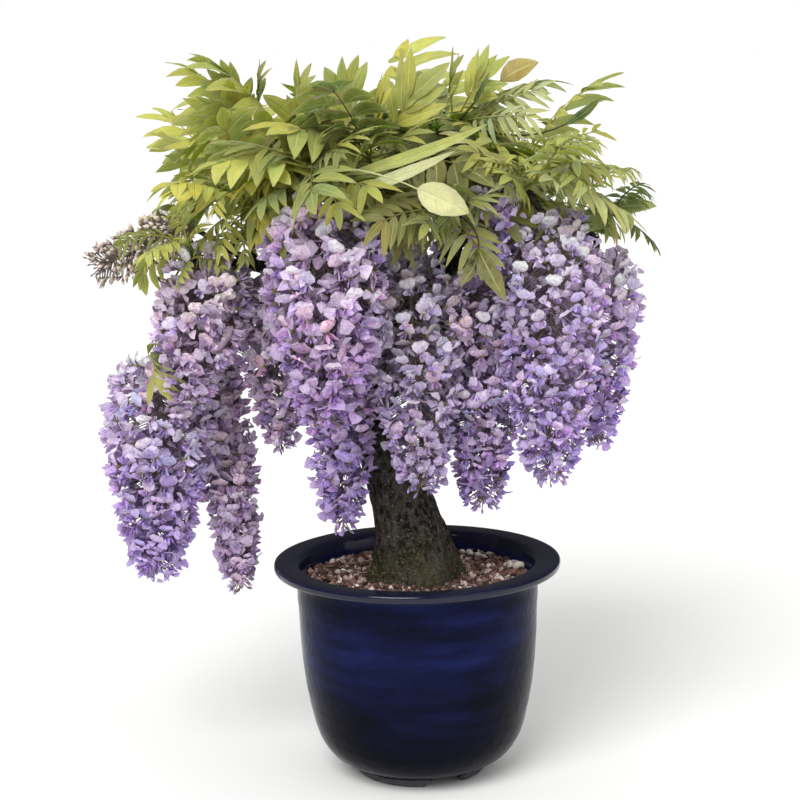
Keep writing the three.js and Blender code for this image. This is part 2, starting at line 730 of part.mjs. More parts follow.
Object.entries(RACEMES).forEach(([key, raceme], i) => {
  const name = `raceme_${key}`;
  standing.set(name, { solid: makeRaceme(raceme, i + 1, clearOf(name)), colour: raceme.kind });
});
Object.entries(SHOOTS).forEach(([key, shoot], i) => {
  const name = `shoot_${key}`;
  standing.set(name, { solid: makeShoot(shoot, FIRST_SHOOT + i, clearOf(name)), colour: shoot.kind });
});

const plant = new THREE.Group();
for (const [name, { solid, colour }] of standing) plant.add(meshOf(name, solid, colour));
const box = new THREE.Box3().setFromObject(plant);
const centre = box.getCenter(new THREE.Vector3());
plant.position.set(-centre.x, -centre.y, -box.min.z);

const root = new THREE.Group();
root.add(plant);
export default root;
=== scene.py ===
"""Flowering wisteria grown as a small standard tree in a glazed pot.

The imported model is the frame. The middle of the pot's box gives the axis that the plant is laid out round,
and each piece made here keeps the form of the solid that it stands for. The layout tables are in
millimetres round that axis, +Z up and -Y to the front, and `placed` turns them into the frame's metres.
"""

import logging
import math
from collections.abc import Iterator
from dataclasses import dataclass, field
from enum import Enum

import bpy
import numpy as np
from mathutils import Matrix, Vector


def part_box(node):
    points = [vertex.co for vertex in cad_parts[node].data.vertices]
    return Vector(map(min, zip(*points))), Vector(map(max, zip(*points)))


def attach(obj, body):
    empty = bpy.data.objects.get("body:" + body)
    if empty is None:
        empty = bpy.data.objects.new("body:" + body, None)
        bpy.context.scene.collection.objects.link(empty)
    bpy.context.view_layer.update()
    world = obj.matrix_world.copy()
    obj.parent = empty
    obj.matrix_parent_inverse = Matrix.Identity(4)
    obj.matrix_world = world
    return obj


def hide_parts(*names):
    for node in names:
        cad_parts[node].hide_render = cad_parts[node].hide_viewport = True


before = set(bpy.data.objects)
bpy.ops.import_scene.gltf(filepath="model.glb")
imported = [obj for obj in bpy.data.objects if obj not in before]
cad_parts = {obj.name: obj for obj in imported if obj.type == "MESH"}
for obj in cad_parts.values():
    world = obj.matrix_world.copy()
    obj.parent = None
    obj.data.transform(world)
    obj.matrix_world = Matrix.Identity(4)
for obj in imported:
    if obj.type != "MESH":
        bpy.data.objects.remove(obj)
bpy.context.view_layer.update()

log = logging.getLogger("wisteria")
Array = np.ndarray
Arrays = tuple[Array, ...]
Draws = np.random.Generator
Pair = tuple[float, float]
Triple = tuple[float, float, float]
Material = bpy.types.Material
Node = bpy.types.Node
Socket = bpy.types.NodeSocket
Tree = bpy.types.NodeTree
MM = 0.001
GOLDEN = 2.399963  # the golden angle, in radians
UP = np.array([0.0, 0.0, 1.0])
POT_LOW, POT_HIGH = (np.array(corner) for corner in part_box("pot"))
POT_AXIS = np.append((POT_LOW + POT_HIGH)[:2] / 2, 0.0)


# ---- Numbers, curves and closed skins ----


def placed(points: Array) -> Array:
    """Layout millimetres round the pot's axis as the frame's metres."""
    return POT_AXIS + np.asarray(points, float) * MM


def unit(vectors: Array) -> Array:
    """Vectors scaled to length one."""
    vectors = np.asarray(vectors, float)
    return vectors / np.linalg.norm(vectors, axis=-1, keepdims=True)


def heading(azimuth: float, elevation: float) -> Array:
    """Unit vector from an azimuth round +Z and an elevation above the horizon, in degrees."""
    a, e = math.radians(azimuth), math.radians(elevation)
    return np.array([math.cos(e) * math.cos(a), math.cos(e) * math.sin(a), math.sin(e)])


def cylinder(radius: Array | float, angle: Array, height: Array | float) -> Array:
    """Points (r cos a, r sin a, z), in the shape to which the three spread."""
    return np.stack(np.broadcast_arrays(radius * np.cos(angle), radius * np.sin(angle), height), -1)


def ring_angles(around: int) -> Array:
    """Even angles round a ring."""
    return np.linspace(0, 2 * np.pi, around, endpoint=False)


def colour(code: str) -> Array:
    """A hex colour as linear red, green, blue and an alpha of one, by the usual screen curve."""
    value = np.array([int(code[i : i + 2], 16) for i in (0, 2, 4)]) / 255
    return np.append(np.where(value <= 0.04045, value / 12.92, ((value + 0.055) / 1.055) ** 2.4), 1.0)


def random_colours(codes: tuple[str, ...], rng: Draws, count: int) -> Array:
    """Hex colours drawn at random, one for each of some copies."""
    return np.array([colour(code) for code in codes])[rng.integers(0, len(codes), count)][:, None, None]


def hue(code: str) -> Array:
    """A dataclass field that holds a hex colour."""
    return field(default_factory=lambda: colour(code))


def seeded_draws(seed: int) -> Iterator[float]:
    """Endless draws between 0 and 1 (the mulberry32 generator), the same as the solids' own.

    Args:
        seed: a whole number.

    Yields:
        The draws.
    """
    mask = 0xFFFFFFFF
    state = seed & mask
    while True:
        state = (state + 0x6D2B79F5) & mask
        t = ((state ^ (state >> 15)) * (1 | state)) & mask
        t = ((t + (((t ^ (t >> 7)) * (61 | t)) & mask)) & mask) ^ t
        yield (t ^ (t >> 14)) / 2**32


def lattice_noise(points: Array, seed: int = 0) -> Array:
    """Smooth noise between 0 and 1.

    Each corner of the unit lattice gets a draw by an integer hash, and the eight corners round a point are
    blended by the smooth step 3t^2 - 2t^3 of its place between them.

    Args:
        points: where, in an array of any shape.
        seed: picks one of many noises.

    Returns:
        The noise at each point.
    """
    cell = np.floor(points).astype(np.int64)
    part = points - cell
    ease = part * part * (3 - 2 * part)
    total = np.zeros(points.shape[:-1])
    for corner in np.ndindex(2, 2, 2):
        key = (cell + corner) @ np.array([73856093, 19349663, 83492791]) + seed * 26544357
        key = ((key ^ (key >> 13)) * 1274126177) & 0xFFFFFFFF
        draw = ((key ^ (key >> 16)) & 0xFFFF) / 0xFFFF
        total += draw * np.prod(np.where(corner, ease, 1 - ease), axis=-1)
    return total


def layered_noise(points: Array, octaves: int = 4, seed: int = 0) -> Array:
    """Noise between 0 and 1: each octave twice as fine and half as strong as the one before.

    Args:
        points: where, in an array of any shape.
        octaves: how many.
        seed: of the first.

    Returns:
        The noise at each point.
    """
    weights = 0.5 ** np.arange(octaves)
    layers = [w * lattice_noise(points * 2**i, seed + i) for i, w in enumerate(weights)]
    return sum(layers) / weights.sum()


class Path:
    """A Bezier curve measured along its length, so that a share of it is a share of its length."""

    def __init__(self, *points: Array) -> None:
        """Samples the Bernstein sum of the control points and measures it.

        Args:
            points: the control points, in layout millimetres.
        """
        controls = np.array(points, float)
        degree = len(controls) - 1
        t = np.linspace(0, 1, 201)[:, None]
        parts = [math.comb(degree, k) * t**k * (1 - t) ** (degree - k) for k in range(degree + 1)]
        self.line = sum(part * control for part, control in zip(parts, controls))
        steps = np.linalg.norm(np.diff(self.line, axis=0), axis=1)
        self.length = float(steps.sum())
        self.shares = np.append(0, np.cumsum(steps)) / self.length

    def on_line(self, share: Array) -> Array:
        """Points between the samples, at shares from 0 to 1."""
        return np.stack([np.interp(share, self.shares, self.line[:, k]) for k in range(3)], -1)

    def at(self, share: Array | float) -> Array:
        """Points at these shares of the length; past the ends the path runs straight on."""
        inside = np.clip(share, 0, 1)
        return self.on_line(inside) + self.along(inside) * ((share - inside) * self.length)[..., None]

    def along(self, share: Array | float) -> Array:
        """Unit tangents at these shares, from the chord over two hundredths of the length."""
        inside = np.clip(np.asarray(share, float), 0, 1)
        return unit(self.on_line(np.clip(inside + 0.01, 0, 1)) - self.on_line(np.clip(inside - 0.01, 0, 1)))


def tube(path: Path, radii: Array, around: int, shares: Array, start: Array | None = None) -> Array:
    """Rings round a path, as centre + radius (cos a . across + sin a . upward).

    Args:
        path: the centreline.
        radii: radius at each share, or at each share and angle.
        around: points in a ring.
        shares: shares of the path's length that get a ring. The first and last rings close to points.
        start: direction in which the angle is zero. It is flattened across the path at every share.

    Returns:
        Points in the shape (rings, around, 3).
    """
    angles = ring_angles(around)[None, :, None]
    centre, along = path.at(shares), path.along(shares)
    if start is None:
        start = np.eye(3)[np.argmin(np.abs(path.at(1.0) - path.at(0.0)))]
    across = unit(start - (along @ start)[:, None] * along)[:, None]
    upward = np.cross(along[:, None], across)
    radii = np.broadcast_to(np.asarray(radii, float).reshape(len(shares), -1), (len(shares), around))
    rings = centre[:, None] + radii[..., None] * (np.cos(angles) * across + np.sin(angles) * upward)
    return np.concatenate([centre[:1, None].repeat(around, 1), rings, centre[-1:, None].repeat(around, 1)])


def copies(form: Array, origins: Array, frames: Array, sizes: Array) -> Array:
    """Copies of a form, each as origin + size (x . first row + y . second row + z . third row).

    Args:
        form: points of the form in its own axes, (rings, around, 3).
        origins: where each copy's origin lies, (copies, 3).
        frames: each copy's axes as rows, (copies, 3, 3).
        sizes: each copy's size, (copies,).

    Returns:
        Points in the shape (copies, rings, around, 3).
    """
    turned = np.einsum("rkc,ncd->nrkd", form, frames * sizes[:, None, None])
    return origins[:, None, None] + turned


def closed(values: Array) -> Array:
    """Values on skins, with each end ring taken as one point.

    Args:
        values: (copies, rings, around, n).

    Returns:
        The same as (copies, points, n).
    """
    count, rings, around, n = values.shape
    ends = values[:, [0, -1]].mean(axis=2)
    middle = values[:, 1:-1].reshape(count, (rings - 2) * around, n)
    return np.concatenate([ends[:, :1], middle, ends[:, 1:]], axis=1)


def skin_faces(rings: int, around: int) -> Arrays:
    """Faces of one closed skin, numbered as `closed` orders its points.

    Args:
        rings: how many rings it has, with its two ends.
        around: points in a ring.

    Returns:
        The triangles at the ends and the quads between them.
    """
    last = 1 + (rings - 2) * around
    k = np.arange(around)
    nxt = (k + 1) % around
    row = 1 + around * np.arange(rings - 3)[:, None]
    quads = np.stack([row + k, row + nxt, row + around + nxt, row + around + k], -1).reshape(-1, 4)
    final = last - around
    low, high = [0 * k, 1 + nxt, 1 + k], [0 * k + last, final + k, final + nxt]
    return np.concatenate([np.stack(low, -1), np.stack(high, -1)]), quads


class Piece:
    """One visible piece, gathered from closed skins.

    Each point holds a tint, whose alpha says how far it is the front of a blade, and a place on its blade as
    (along, across), which the finishes read as the colour attribute "tint" and the UV map "blade".
    """

    sharp_angle = 62.0

    def __init__(self, name: str, slot: str, replaces: tuple[str, ...] = ()) -> None:
        """Starts an empty piece.

        Args:
            name: the object's name.
            slot: the record's material slot; it is kept on the piece but not used.
            replaces: the solids that it stands for.
        """
        self.name, self.slot, self.replaced = name, slot, replaces
        self.points: list[Array] = []
        self.tints: list[Array] = []
        self.places: list[Array] = []
        self.loops: list[Array] = []
        self.sides: list[Array] = []
        self.finishes: list[Material] = []
        self.finish_of: list[Array] = []
        self.smooth: list[Array] = []
        self.count = 0

    def gather(
        self, points: Array, tints: Array, places: Array, faces: Arrays, finish: Material, smooth: bool
    ) -> None:
        """Takes in points and faces.

        Args:
            points: in layout millimetres, (points, 3).
            tints: a colour, or one for each point.
            places: (along, across) on the blade, likewise.
            faces: arrays of faces of one number of sides each, as numbers of these points.
            finish: the material.
            smooth: whether faces are shaded as one surface.
        """
        if finish not in self.finishes:
            self.finishes.append(finish)
        for kind in faces:
            self.loops.append((kind + self.count).reshape(-1))
            self.sides.append(np.full(len(kind), kind.shape[1]))
            self.finish_of.append(np.full(len(kind), self.finishes.index(finish)))
            self.smooth.append(np.full(len(kind), smooth))
        self.points.append(points)
        self.tints.append(np.broadcast_to(tints, (len(points), 4)))
        self.places.append(np.broadcast_to(places, (len(points), 2)))
        self.count += len(points)

    def add(
        self, skins: Array, finish: Material, tint: Array = np.ones(4), place: Array = np.zeros(2),
        smooth: bool = True,
    ) -> None:
        """Adds skins of one shape, each closed at its end rings, with their faces turned outwards.

        Args:
            skins: points in layout millimetres, (copies, rings, around, 3) or one skin's (rings, around, 3).
            finish: the material.
            tint: colours that can be spread over the skins' points.
            place: (along, across) on the blade, likewise.
            smooth: the same as for `gather`.
        """
        skins = skins if skins.ndim == 4 else skins[None]
        shape = skins.shape[:3]
        points = closed(skins)
        caps, quads = skin_faces(*shape[1:])
        fans = np.concatenate([caps, quads[:, [0, 1, 2]], quads[:, [0, 2, 3]]])
        middles = points - points.mean(axis=1, keepdims=True)
        a, b, c = (middles[:, fans[:, i]] for i in range(3))
        if np.einsum("nfi,nfi->", a, np.cross(b, c)) < 0:
            caps, quads = caps[:, ::-1], quads[:, ::-1]
        offsets = points.shape[1] * np.arange(shape[0])[:, None, None]
        faces = tuple((kind + offsets).reshape(-1, kind.shape[1]) for kind in (caps, quads))
        tints = closed(np.broadcast_to(tint, shape + (4,))).reshape(-1, 4)
        places = closed(np.broadcast_to(place, shape + (2,))).reshape(-1, 2)
        self.gather(points.reshape(-1, 3), tints, places, faces, finish, smooth)

    def build(self) -> None:
        """Makes the mesh object, which rides on the plant's one body."""
        points, tints, places = (np.concatenate(part) for part in (self.points, self.tints, self.places))
        loops, sides = np.concatenate(self.loops), np.concatenate(self.sides)
        mesh = bpy.data.meshes.new(self.name)
        mesh.vertices.add(len(points))
        mesh.vertices.foreach_set("co", placed(points).ravel())
        mesh.loops.add(len(loops))
        mesh.loops.foreach_set("vertex_index", loops.astype(np.int32))
        mesh.polygons.add(len(sides))
        mesh.polygons.foreach_set("loop_start", np.append(0, np.cumsum(sides)[:-1]).astype(np.int32))
        for material in self.finishes:
            mesh.materials.append(material)
        mesh.polygons.foreach_set("material_index", np.concatenate(self.finish_of).astype(np.int32))
        mesh.update(calc_edges=True)
        mesh.polygons.foreach_set("use_smooth", np.concatenate(self.smooth))
        mesh.set_sharp_from_angle(angle=math.radians(self.sharp_angle))
        mesh.color_attributes.new("tint", "FLOAT_COLOR", "POINT").data.foreach_set("color", tints.ravel())
        mesh.uv_layers.new(name="blade").data.foreach_set("uv", places[loops].ravel())
        piece = bpy.data.objects.new(self.name, mesh)
        bpy.context.scene.collection.objects.link(piece)
        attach(piece, "root")
        if self.replaced:
            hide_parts(*self.replaced)
        log.info("%s: %d triangles", self.name, int((sides - 2).sum()))


# ---- Finishes ----


@dataclass(frozen=True)
class Patches:
    """Soft patches: noise, drawn out along an axis by a smaller number, whose range becomes a mask."""

    scale: float
    detail: float
    low: float = 0.0
    high: float = 1.0
    to: Pair = (0, 1)
    stretch: Triple = (1, 1, 1)


class Nodes:
    """The nodes of one material or group while it is put together."""

    def __init__(self, tree: Tree) -> None:
        """Starts on a tree."""
        self.tree = tree

    def fill(self, node: Node, inputs: dict) -> None:
        """Gives a node's inputs their values.

        Args:
            node: the node.
            inputs: a value or another node's socket for each input's name or number.
        """
        for key, value in inputs.items():
            if isinstance(value, Socket):
                self.tree.links.new(value, node.inputs[key])
            else:
                node.inputs[key].default_value = value

    def add(self, kind: str, inputs: dict | None = None, **settings: object) -> Node:
        """A new node.

        Args:
            kind: the node's type, without its ShaderNode prefix.
            inputs: the same as for `fill`.
            settings: the node's own properties.

        Returns:
            The node.
        """
        node = self.tree.nodes.new("ShaderNode" + kind)
        for key, value in settings.items():
            setattr(node, key, value)
        self.fill(node, inputs or {})
        return node

    def mix(self, factor: object, first: object, second: object, blend: str = "MIX") -> Socket:
        """Two colours mixed by a factor."""
        inputs = {0: factor, 6: first, 7: second}
        return self.add("Mix", inputs, data_type="RGBA", blend_type=blend).outputs[2]

    def maths(self, operation: str, *values: object) -> Socket:
        """One sum of up to three values."""
        return self.add("Math", dict(enumerate(values)), operation=operation).outputs[0]

    def span(self, value: object, low: float, high: float, to: Pair = (0, 1)) -> Socket:
        """A value carried from one range to another, and held inside it."""
        inputs = {"Value": value, "From Min": low, "From Max": high, "To Min": to[0], "To Max": to[1]}
        return self.add("MapRange", inputs).outputs[0]

    def here(self) -> Socket:
        """The point in the piece's own space."""
        return self.add("TexCoord").outputs["Object"]

    def height(self) -> Socket:
        """The point's height above the ground, in metres."""
        return self.add("SeparateXYZ", {0: self.here()}).outputs[2]

    def tint(self) -> bpy.types.NodeOutputs:
        """The piece's tint: output 0 is its colour, and output 3 how far the point is a blade's front."""
        return self.add("Attribute", attribute_name="tint").outputs

    def cloud(self, vector: Socket, scale: object, detail: float) -> Socket:
        """Soft noise."""
        return self.add("TexNoise", {"Vector": vector, "Scale": scale, "Detail": detail}).outputs[0]

    def noise(self, patches: Patches) -> Socket:
        """The plain noise of some patches."""
        vector = self.add("Mapping", {"Vector": self.here(), "Scale": patches.stretch}).outputs[0]
        return self.cloud(vector, patches.scale, patches.detail)

    def patches(self, patches: Patches) -> Socket:
        """Some patches as a mask."""
        return self.span(self.noise(patches), patches.low, patches.high, patches.to)

    def bump(self, height: object) -> Socket:
        """The normal that a height in metres gives."""
        return self.add("Bump", {"Height": height, "Distance": 1.0}).outputs[0]

    def blade(self) -> tuple[Socket, Socket]:
        """How far along its blade a point lies, and how far from the blade's middle line."""
        parts = self.add("SeparateXYZ", {0: self.add("UVMap", uv_map="blade").outputs[0]}).outputs
        return parts[0], self.maths("ABSOLUTE", self.maths("MULTIPLY_ADD", parts[1], 2.0, -1.0))

    def mottled(self, tone: object, scale: float, amount: float) -> Socket:
        """A colour made uneven by the shared group."""
        inputs = {"Colour": tone, "Scale": scale, "Amount": amount}
        return self.add("Group", inputs, node_tree=MOTTLED).outputs[0]

    def relief(self, scale: float, depth: float) -> Socket:
        """The normal of fine relief by the shared group."""
        return self.add("Group", {"Scale": scale, "Depth": depth}, node_tree=RELIEF).outputs[0]


def new_group(name: str, inputs: dict[str, str], outputs: dict[str, str]) -> Nodes:
    """A shared node group with its sockets.

    Args:
        name: the group's name.
        inputs: socket type for each input's name.
        outputs: socket type for each output's name.

    Returns:
        The group's nodes, with none between its input and output yet.
    """
    tree = bpy.data.node_groups.new(name, "ShaderNodeTree")
    for way, sockets in (("INPUT", inputs), ("OUTPUT", outputs)):
        for socket, kind in sockets.items():
            tree.interface.new_socket(name=socket, in_out=way, socket_type="NodeSocket" + kind)
    return Nodes(tree)


def mottled_group() -> Tree:
    """Uneven colour: the colour times 1 - 2 amount to 1 + 2 amount, by soft noise.

    Returns:
        The group.
    """
    sockets = {"Colour": "Color", "Scale": "Float", "Amount": "Float"}
    nodes = new_group("mottled", sockets, {"Colour": "Color"})
    given = nodes.tree.nodes.new("NodeGroupInput").outputs
    cloud = nodes.cloud(nodes.here(), given["Scale"], 5.0)
    centred = nodes.maths("MULTIPLY_ADD", cloud, 4.0, -2.0)
    light = nodes.maths("MULTIPLY_ADD", centred, given["Amount"], 1.0)
    tone = nodes.add("CombineColor", {0: light, 1: light, 2: light}).outputs[0]
    result = nodes.mix(1.0, given["Colour"], tone, "MULTIPLY")
    nodes.fill(nodes.tree.nodes.new("NodeGroupOutput"), {0: result})
    return nodes.tree


def relief_group() -> Tree:
    """Fine relief: noise in the piece's own space as a bumped normal.

    Returns:
        The group.
    """
    nodes = new_group("relief", {"Scale": "Float", "Depth": "Float"}, {"Normal": "Vector"})
    given = nodes.tree.nodes.new("NodeGroupInput").outputs
    cloud = nodes.cloud(nodes.here(), given["Scale"], 6.0)
    bump = nodes.bump(nodes.maths("MULTIPLY", cloud, given["Depth"]))
    nodes.fill(nodes.tree.nodes.new("NodeGroupOutput"), {0: bump})
    return nodes.tree


MOTTLED = mottled_group()
RELIEF = relief_group()


def new_material(name: str, preview: Array) -> tuple[Material, Nodes, Node]:
    """A material with its surface shader.

    Args:
        name: the material's name.
        preview: its plain colour in the viewport.

    Returns:
        The material, its nodes and the shader node.
    """
    material = bpy.data.materials.new(name)
    material.use_nodes = True
    material.diffuse_color = preview
    return material, Nodes(material.node_tree), material.node_tree.nodes["Principled BSDF"]


@dataclass(frozen=True)
class Glaze:
    """Dark cobalt glaze that breaks to near black where it runs thinner, over a bare grey foot, with
    painted shade darkening the lower belly to near black.

    A band is given by the heights at which it starts and is full, in metres.
    """

    # The near black of glaze that runs thinner, also used as painted shade on the lower belly.
    thin_and_shade: Array = hue("07070d")
    full: Array = hue("0b0f2c")
    pooled: Array = hue("17204e")
    lip: Array = hue("15162a")
    craze: Array = hue("2a3468")
    bare: Array = hue("48474c")
    streaks: Patches = Patches(60, 6, 0.36, 0.66, stretch=(0.16, 0.16, 1))
    clouds: Patches = Patches(14, 4, 0.3, 0.62, stretch=(0.6, 0.6, 1))
    wetness: Patches = Patches(55, 4, 0.35, 0.7, (0.14, 0.28))
    edge_noise: Patches = Patches(40, 3)
    dimples: Patches = Patches(90, 4)
    wander: float = 0.005
    lip_band: Pair = (0.211, 0.219)
    # Heights over which painted shade darkens the lower belly towards near black.
    belly_shade_band: Pair = (0.15, 0.055)
    foot_band: Pair = (0.009, 0.0078)
    band_strength: float = 0.9
    craze_scale: float = 95.0
    craze_width: float = 0.03
    craze_strength: float = 0.05
    relief: float = 0.0006
    dry: float = 0.85
    coat: float = 0.8

    def material(self) -> Material:
        """Bands drawn out round the wall, painted shade that darkens the lower belly, a faint crackle, and a
        wandering edge above the foot.

        Returns:
            The material: gloss on the glaze, and a dry rough surface on the foot.
        """
        material, nodes, shader = new_material("cobalt_glaze", self.full)
        streaks, clouds = nodes.patches(self.streaks), nodes.patches(self.clouds)
        body = nodes.mix(clouds, self.thin_and_shade, self.full)
        body = nodes.mix(nodes.maths("MULTIPLY", streaks, clouds), body, self.pooled)
        height = nodes.height()
        wander = nodes.maths("MULTIPLY_ADD", nodes.noise(self.edge_noise), self.wander, -self.wander / 2)
        above = nodes.maths("ADD", height, wander)
        lip = nodes.span(height, *self.lip_band, (0, self.band_strength))
        body = nodes.mix(lip, body, self.lip)
        # Painted shade: the belly darkens towards near black as it nears the foot.
        body = nodes.mix(nodes.span(above, *self.belly_shade_band, (0, self.band_strength)), body, self.thin_and_shade)
        cells = {"Vector": nodes.here(), "Scale": self.craze_scale}
        edge = nodes.add("TexVoronoi", cells, feature="DISTANCE_TO_EDGE").outputs[0]
        craze = nodes.span(edge, 0.0, self.craze_width, (self.craze_strength, 0))
        body = nodes.mix(craze, body, self.craze)
        bare = nodes.span(above, *self.foot_band)
        body = nodes.mix(bare, body, nodes.mottled(self.bare, 260.0, 0.35))
        rough = {0: bare, 2: nodes.patches(self.wetness), 3: self.dry}
        dimples = nodes.maths("MULTIPLY", nodes.noise(self.dimples), self.relief)
        relief = nodes.maths("SUBTRACT", dimples, nodes.maths("MULTIPLY", craze, self.relief))
        nodes.fill(shader, {
            "Base Color": body,
            "Roughness": nodes.add("Mix", rough, data_type="FLOAT").outputs[0],
            "Normal": nodes.bump(relief),
            "Specular IOR Level": 0.05,
            "Coat Weight": nodes.maths("MULTIPLY", lip, self.coat),
            "Coat Roughness": 0.1,
        })
        return material


@dataclass(frozen=True)
class Bark:
    """Rough grey-brown bark, dark in its cracks, with moss creeping up from the soil."""

    crack: Array = hue("12100d")
    ridge: Array = hue("4e4842")
    speck: Array = hue("8a8474")
    lichen: Array = hue("6f6c60")
    moss: Array = hue("45422a")
    grain: Patches = Patches(190, 8, 0.38, 0.64, stretch=(1, 1, 0.6))
    specks: Patches = Patches(420, 3, 0.6, 0.68, (0, 0.55))
    lichens: Patches = Patches(38, 5, 0.56, 0.68, (0, 0.3))
    moss_edge: Patches = Patches(26, 5)
    moss_wander: float = 0.16
    moss_band: Pair = (0.262, 0.202)
    moss_cover: float = 0.7

    def material(self) -> Material:
        """Ridges lighter than cracks, specks, lichen clouds, and moss that thins out with height.

        Returns:
            The material.
        """
        material, nodes, shader = new_material("bark", self.ridge)
        body = nodes.mix(nodes.patches(self.grain), self.crack, self.ridge)
        body = nodes.mix(nodes.patches(self.specks), body, self.speck)
        body = nodes.mix(nodes.patches(self.lichens), body, self.lichen)
        patchy = nodes.noise(self.moss_edge)
        patchy = nodes.maths("MULTIPLY_ADD", patchy, self.moss_wander, -self.moss_wander / 2)
        above = nodes.maths("ADD", nodes.height(), patchy)
        mossy = nodes.span(above, *self.moss_band, (0, self.moss_cover))
        nodes.fill(shader, {
            "Base Color": nodes.mix(mossy, body, nodes.mottled(self.moss, 420.0, 0.5)),
            "Normal": nodes.relief(240.0, 0.006),
            "Roughness": 0.92,
            "Specular IOR Level": 0.25,
        })
        return material


@dataclass(frozen=True)
class Crumb:
    """Dry mineral or woody crumb that takes its colour from the piece's tint."""

    name: str
    scale: float = 500.0
    amount: float = 0.3
    depth: float = 0.002
    roughness: float = 0.95

    def material(self) -> Material:
        """The tint, mottled, with fine relief.

        Returns:
            The material.
        """
        material, nodes, shader = new_material(self.name, colour("6a4a3e"))
        nodes.fill(shader, {
            "Base Color": nodes.mottled(nodes.tint()[0], self.scale, self.amount),
            "Normal": nodes.relief(self.scale, self.depth),
            "Roughness": self.roughness,
            "Specular IOR Level": 0.2,
        })
        return material


@dataclass(frozen=True)
class LeafSkin:
    """Soft satin leaf: a pale midrib, side veins running out to the tip, and a duller back."""

    veins: float = 9.0
    slant: float = -0.22
    vein: Array = hue("cfd79a")
    vein_mix: float = 0.55
    vein_depth: float = -0.0007
    tip: Array = hue("c2bd62")
    back: Array = hue("9cae78")
    back_mix: float = 0.2

    def material(self) -> Material:
        """The tint with its veins drawn along the blade, a little light passing through.

        Returns:
            The material.
        """
        material, nodes, shader = new_material("leaf", colour("7d9a3a"))
        along, across = nodes.blade()
        tint = nodes.tint()
        body = nodes.mottled(tint[0], 90.0, 0.16)
        slant = nodes.maths("MULTIPLY_ADD", across, self.slant, along)
        wave = nodes.maths("PINGPONG", nodes.maths("MULTIPLY", slant, self.veins), 0.5)
        body = nodes.mix(nodes.span(along, 0.5, 1.0, (0, 0.3)), body, self.tip)
        side = nodes.span(wave, 0.08, 0.0, (0, 0.32))
        midrib = nodes.span(across, 0.13, 0.03, (0, 0.75))
        vein = nodes.maths("MAXIMUM", side, midrib)
        body = nodes.mix(vein, body, nodes.mix(self.vein_mix, body, self.vein))
        under = nodes.maths("SUBTRACT", 1.0, tint[3])
        nodes.fill(shader, {
            "Base Color": nodes.mix(nodes.maths("MULTIPLY", under, self.back_mix), body, self.back),
            "Normal": nodes.bump(nodes.maths("MULTIPLY", vein, self.vein_depth)),
            "Roughness": 0.5,
            "Specular IOR Level": 0.35,
            "Subsurface Weight": 0.25,
            "Subsurface Radius": (0.5, 1.0, 0.2),
            "Subsurface Scale": 0.003,
        })
        return material


@dataclass(frozen=True)
class PetalSkin:
    """Soft matt petal: fine veins fanning out from its base, where a banner has a pale yellowish patch."""

    name: str
    patch: float = 0.0
    fan: float = 0.4
    # How strongly a painted highlight lightens the rim.
    rim: float = 0.3
    # The darker colour of the veins, also used as painted shade at the petal's base.
    deep: Array = hue("bca8d8")
    # The near white of the painted highlight at the rim.
    rim_highlight: Array = hue("f4ecfa")
    patch_colour: Array = hue("e6e3b0")
    veins: float = 8.0

    def material(self) -> Material:
        """The tint with painted shade darkening its base and a painted highlight lightening its rim, veined
        along the petal, a little light passing through.

        Returns:
            The material.
        """
        material, nodes, shader = new_material(self.name, colour("a58fd0"))
        along, across = nodes.blade()
        body = nodes.mottled(nodes.tint()[0], 240.0, 0.2)
        wave = nodes.maths("PINGPONG", nodes.maths("MULTIPLY", across, self.veins), 0.5)
        # Painted shade: the petal darkens towards its base, by the same darker colour as its veins.
        base = nodes.span(along, 0.1, 0.75, (0.42, 0))
        for mask in (base, nodes.span(wave, 0.3, 0.0, (0, self.fan))):
            body = nodes.mix(mask, body, nodes.mix(1.0, body, self.deep, "MULTIPLY"))
        # Painted highlight: the rim is lightened towards near white.
        body = nodes.mix(nodes.span(across, 0.62, 0.98, (0, self.rim)), body, self.rim_highlight)
        centre = nodes.maths("MULTIPLY", nodes.span(along, 0.42, 0.12), nodes.span(across, 0.6, 0.1))
        nodes.fill(shader, {
            "Base Color": nodes.mix(nodes.maths("MULTIPLY", centre, self.patch), body, self.patch_colour),
            "Normal": nodes.relief(300.0, 0.0036),
            "Roughness": 0.62,
            "Specular IOR Level": 0.25,
            "Subsurface Weight": 0.3,
            "Subsurface Radius": (0.8, 0.5, 1.0),
            "Subsurface Scale": 0.003,
        })
        return material


# ---- Pot ----


def lathe(profile: Array, around: int) -> Array:
    """A profile carried round the axis: (r cos a, r sin a, z).

    Args:
        profile: the outline's points, as (radius, height).
        around: how many points stand in a ring.

    Returns:
        The points, (profile, around, 3).
    """
    return cylinder(profile[:, :1], ring_angles(around), profile[:, 1:])


def spline(points: Array, steps: int) -> Array:
    """A Catmull-Rom curve: on each span the cubic whose slopes are half its neighbours' chord.

    Args:
        points: what it goes through.
        steps: how many points it gets on each span.

    Returns:
        The curve's points.
    """
    padded = np.concatenate([points[:1], points, points[-1:]])
    t = np.linspace(0, 1, steps, endpoint=False)[:, None, None]
    a, b, c, d = (padded[i : i + len(points) - 1] for i in range(4))
    slope_b, slope_c = (c - a) / 2, (d - b) / 2
    square = 3 * (c - b) - 2 * slope_b - slope_c
    cube = 2 * (b - c) + slope_b + slope_c
    curve = b + slope_b * t + square * t**2 + cube * t**3
    return np.concatenate([curve.transpose(1, 0, 2).reshape(-1, 2), points[-1:]])


def rounded(points: Array, times: int) -> Array:
    """An open outline with each corner cut at a quarter and three quarters of its sides.

    Args:
        points: the outline.
        times: how often its corners are cut.

    Returns:
        The rounded outline, with the same ends.
    """
    for _ in range(times):
        cuts = np.stack([0.75 * points[:-1] + 0.25 * points[1:], 0.25 * points[:-1] + 0.75 * points[1:]], 1)
        points = np.concatenate([points[:1], cuts.reshape(-1, 2), points[-1:]])
    return points


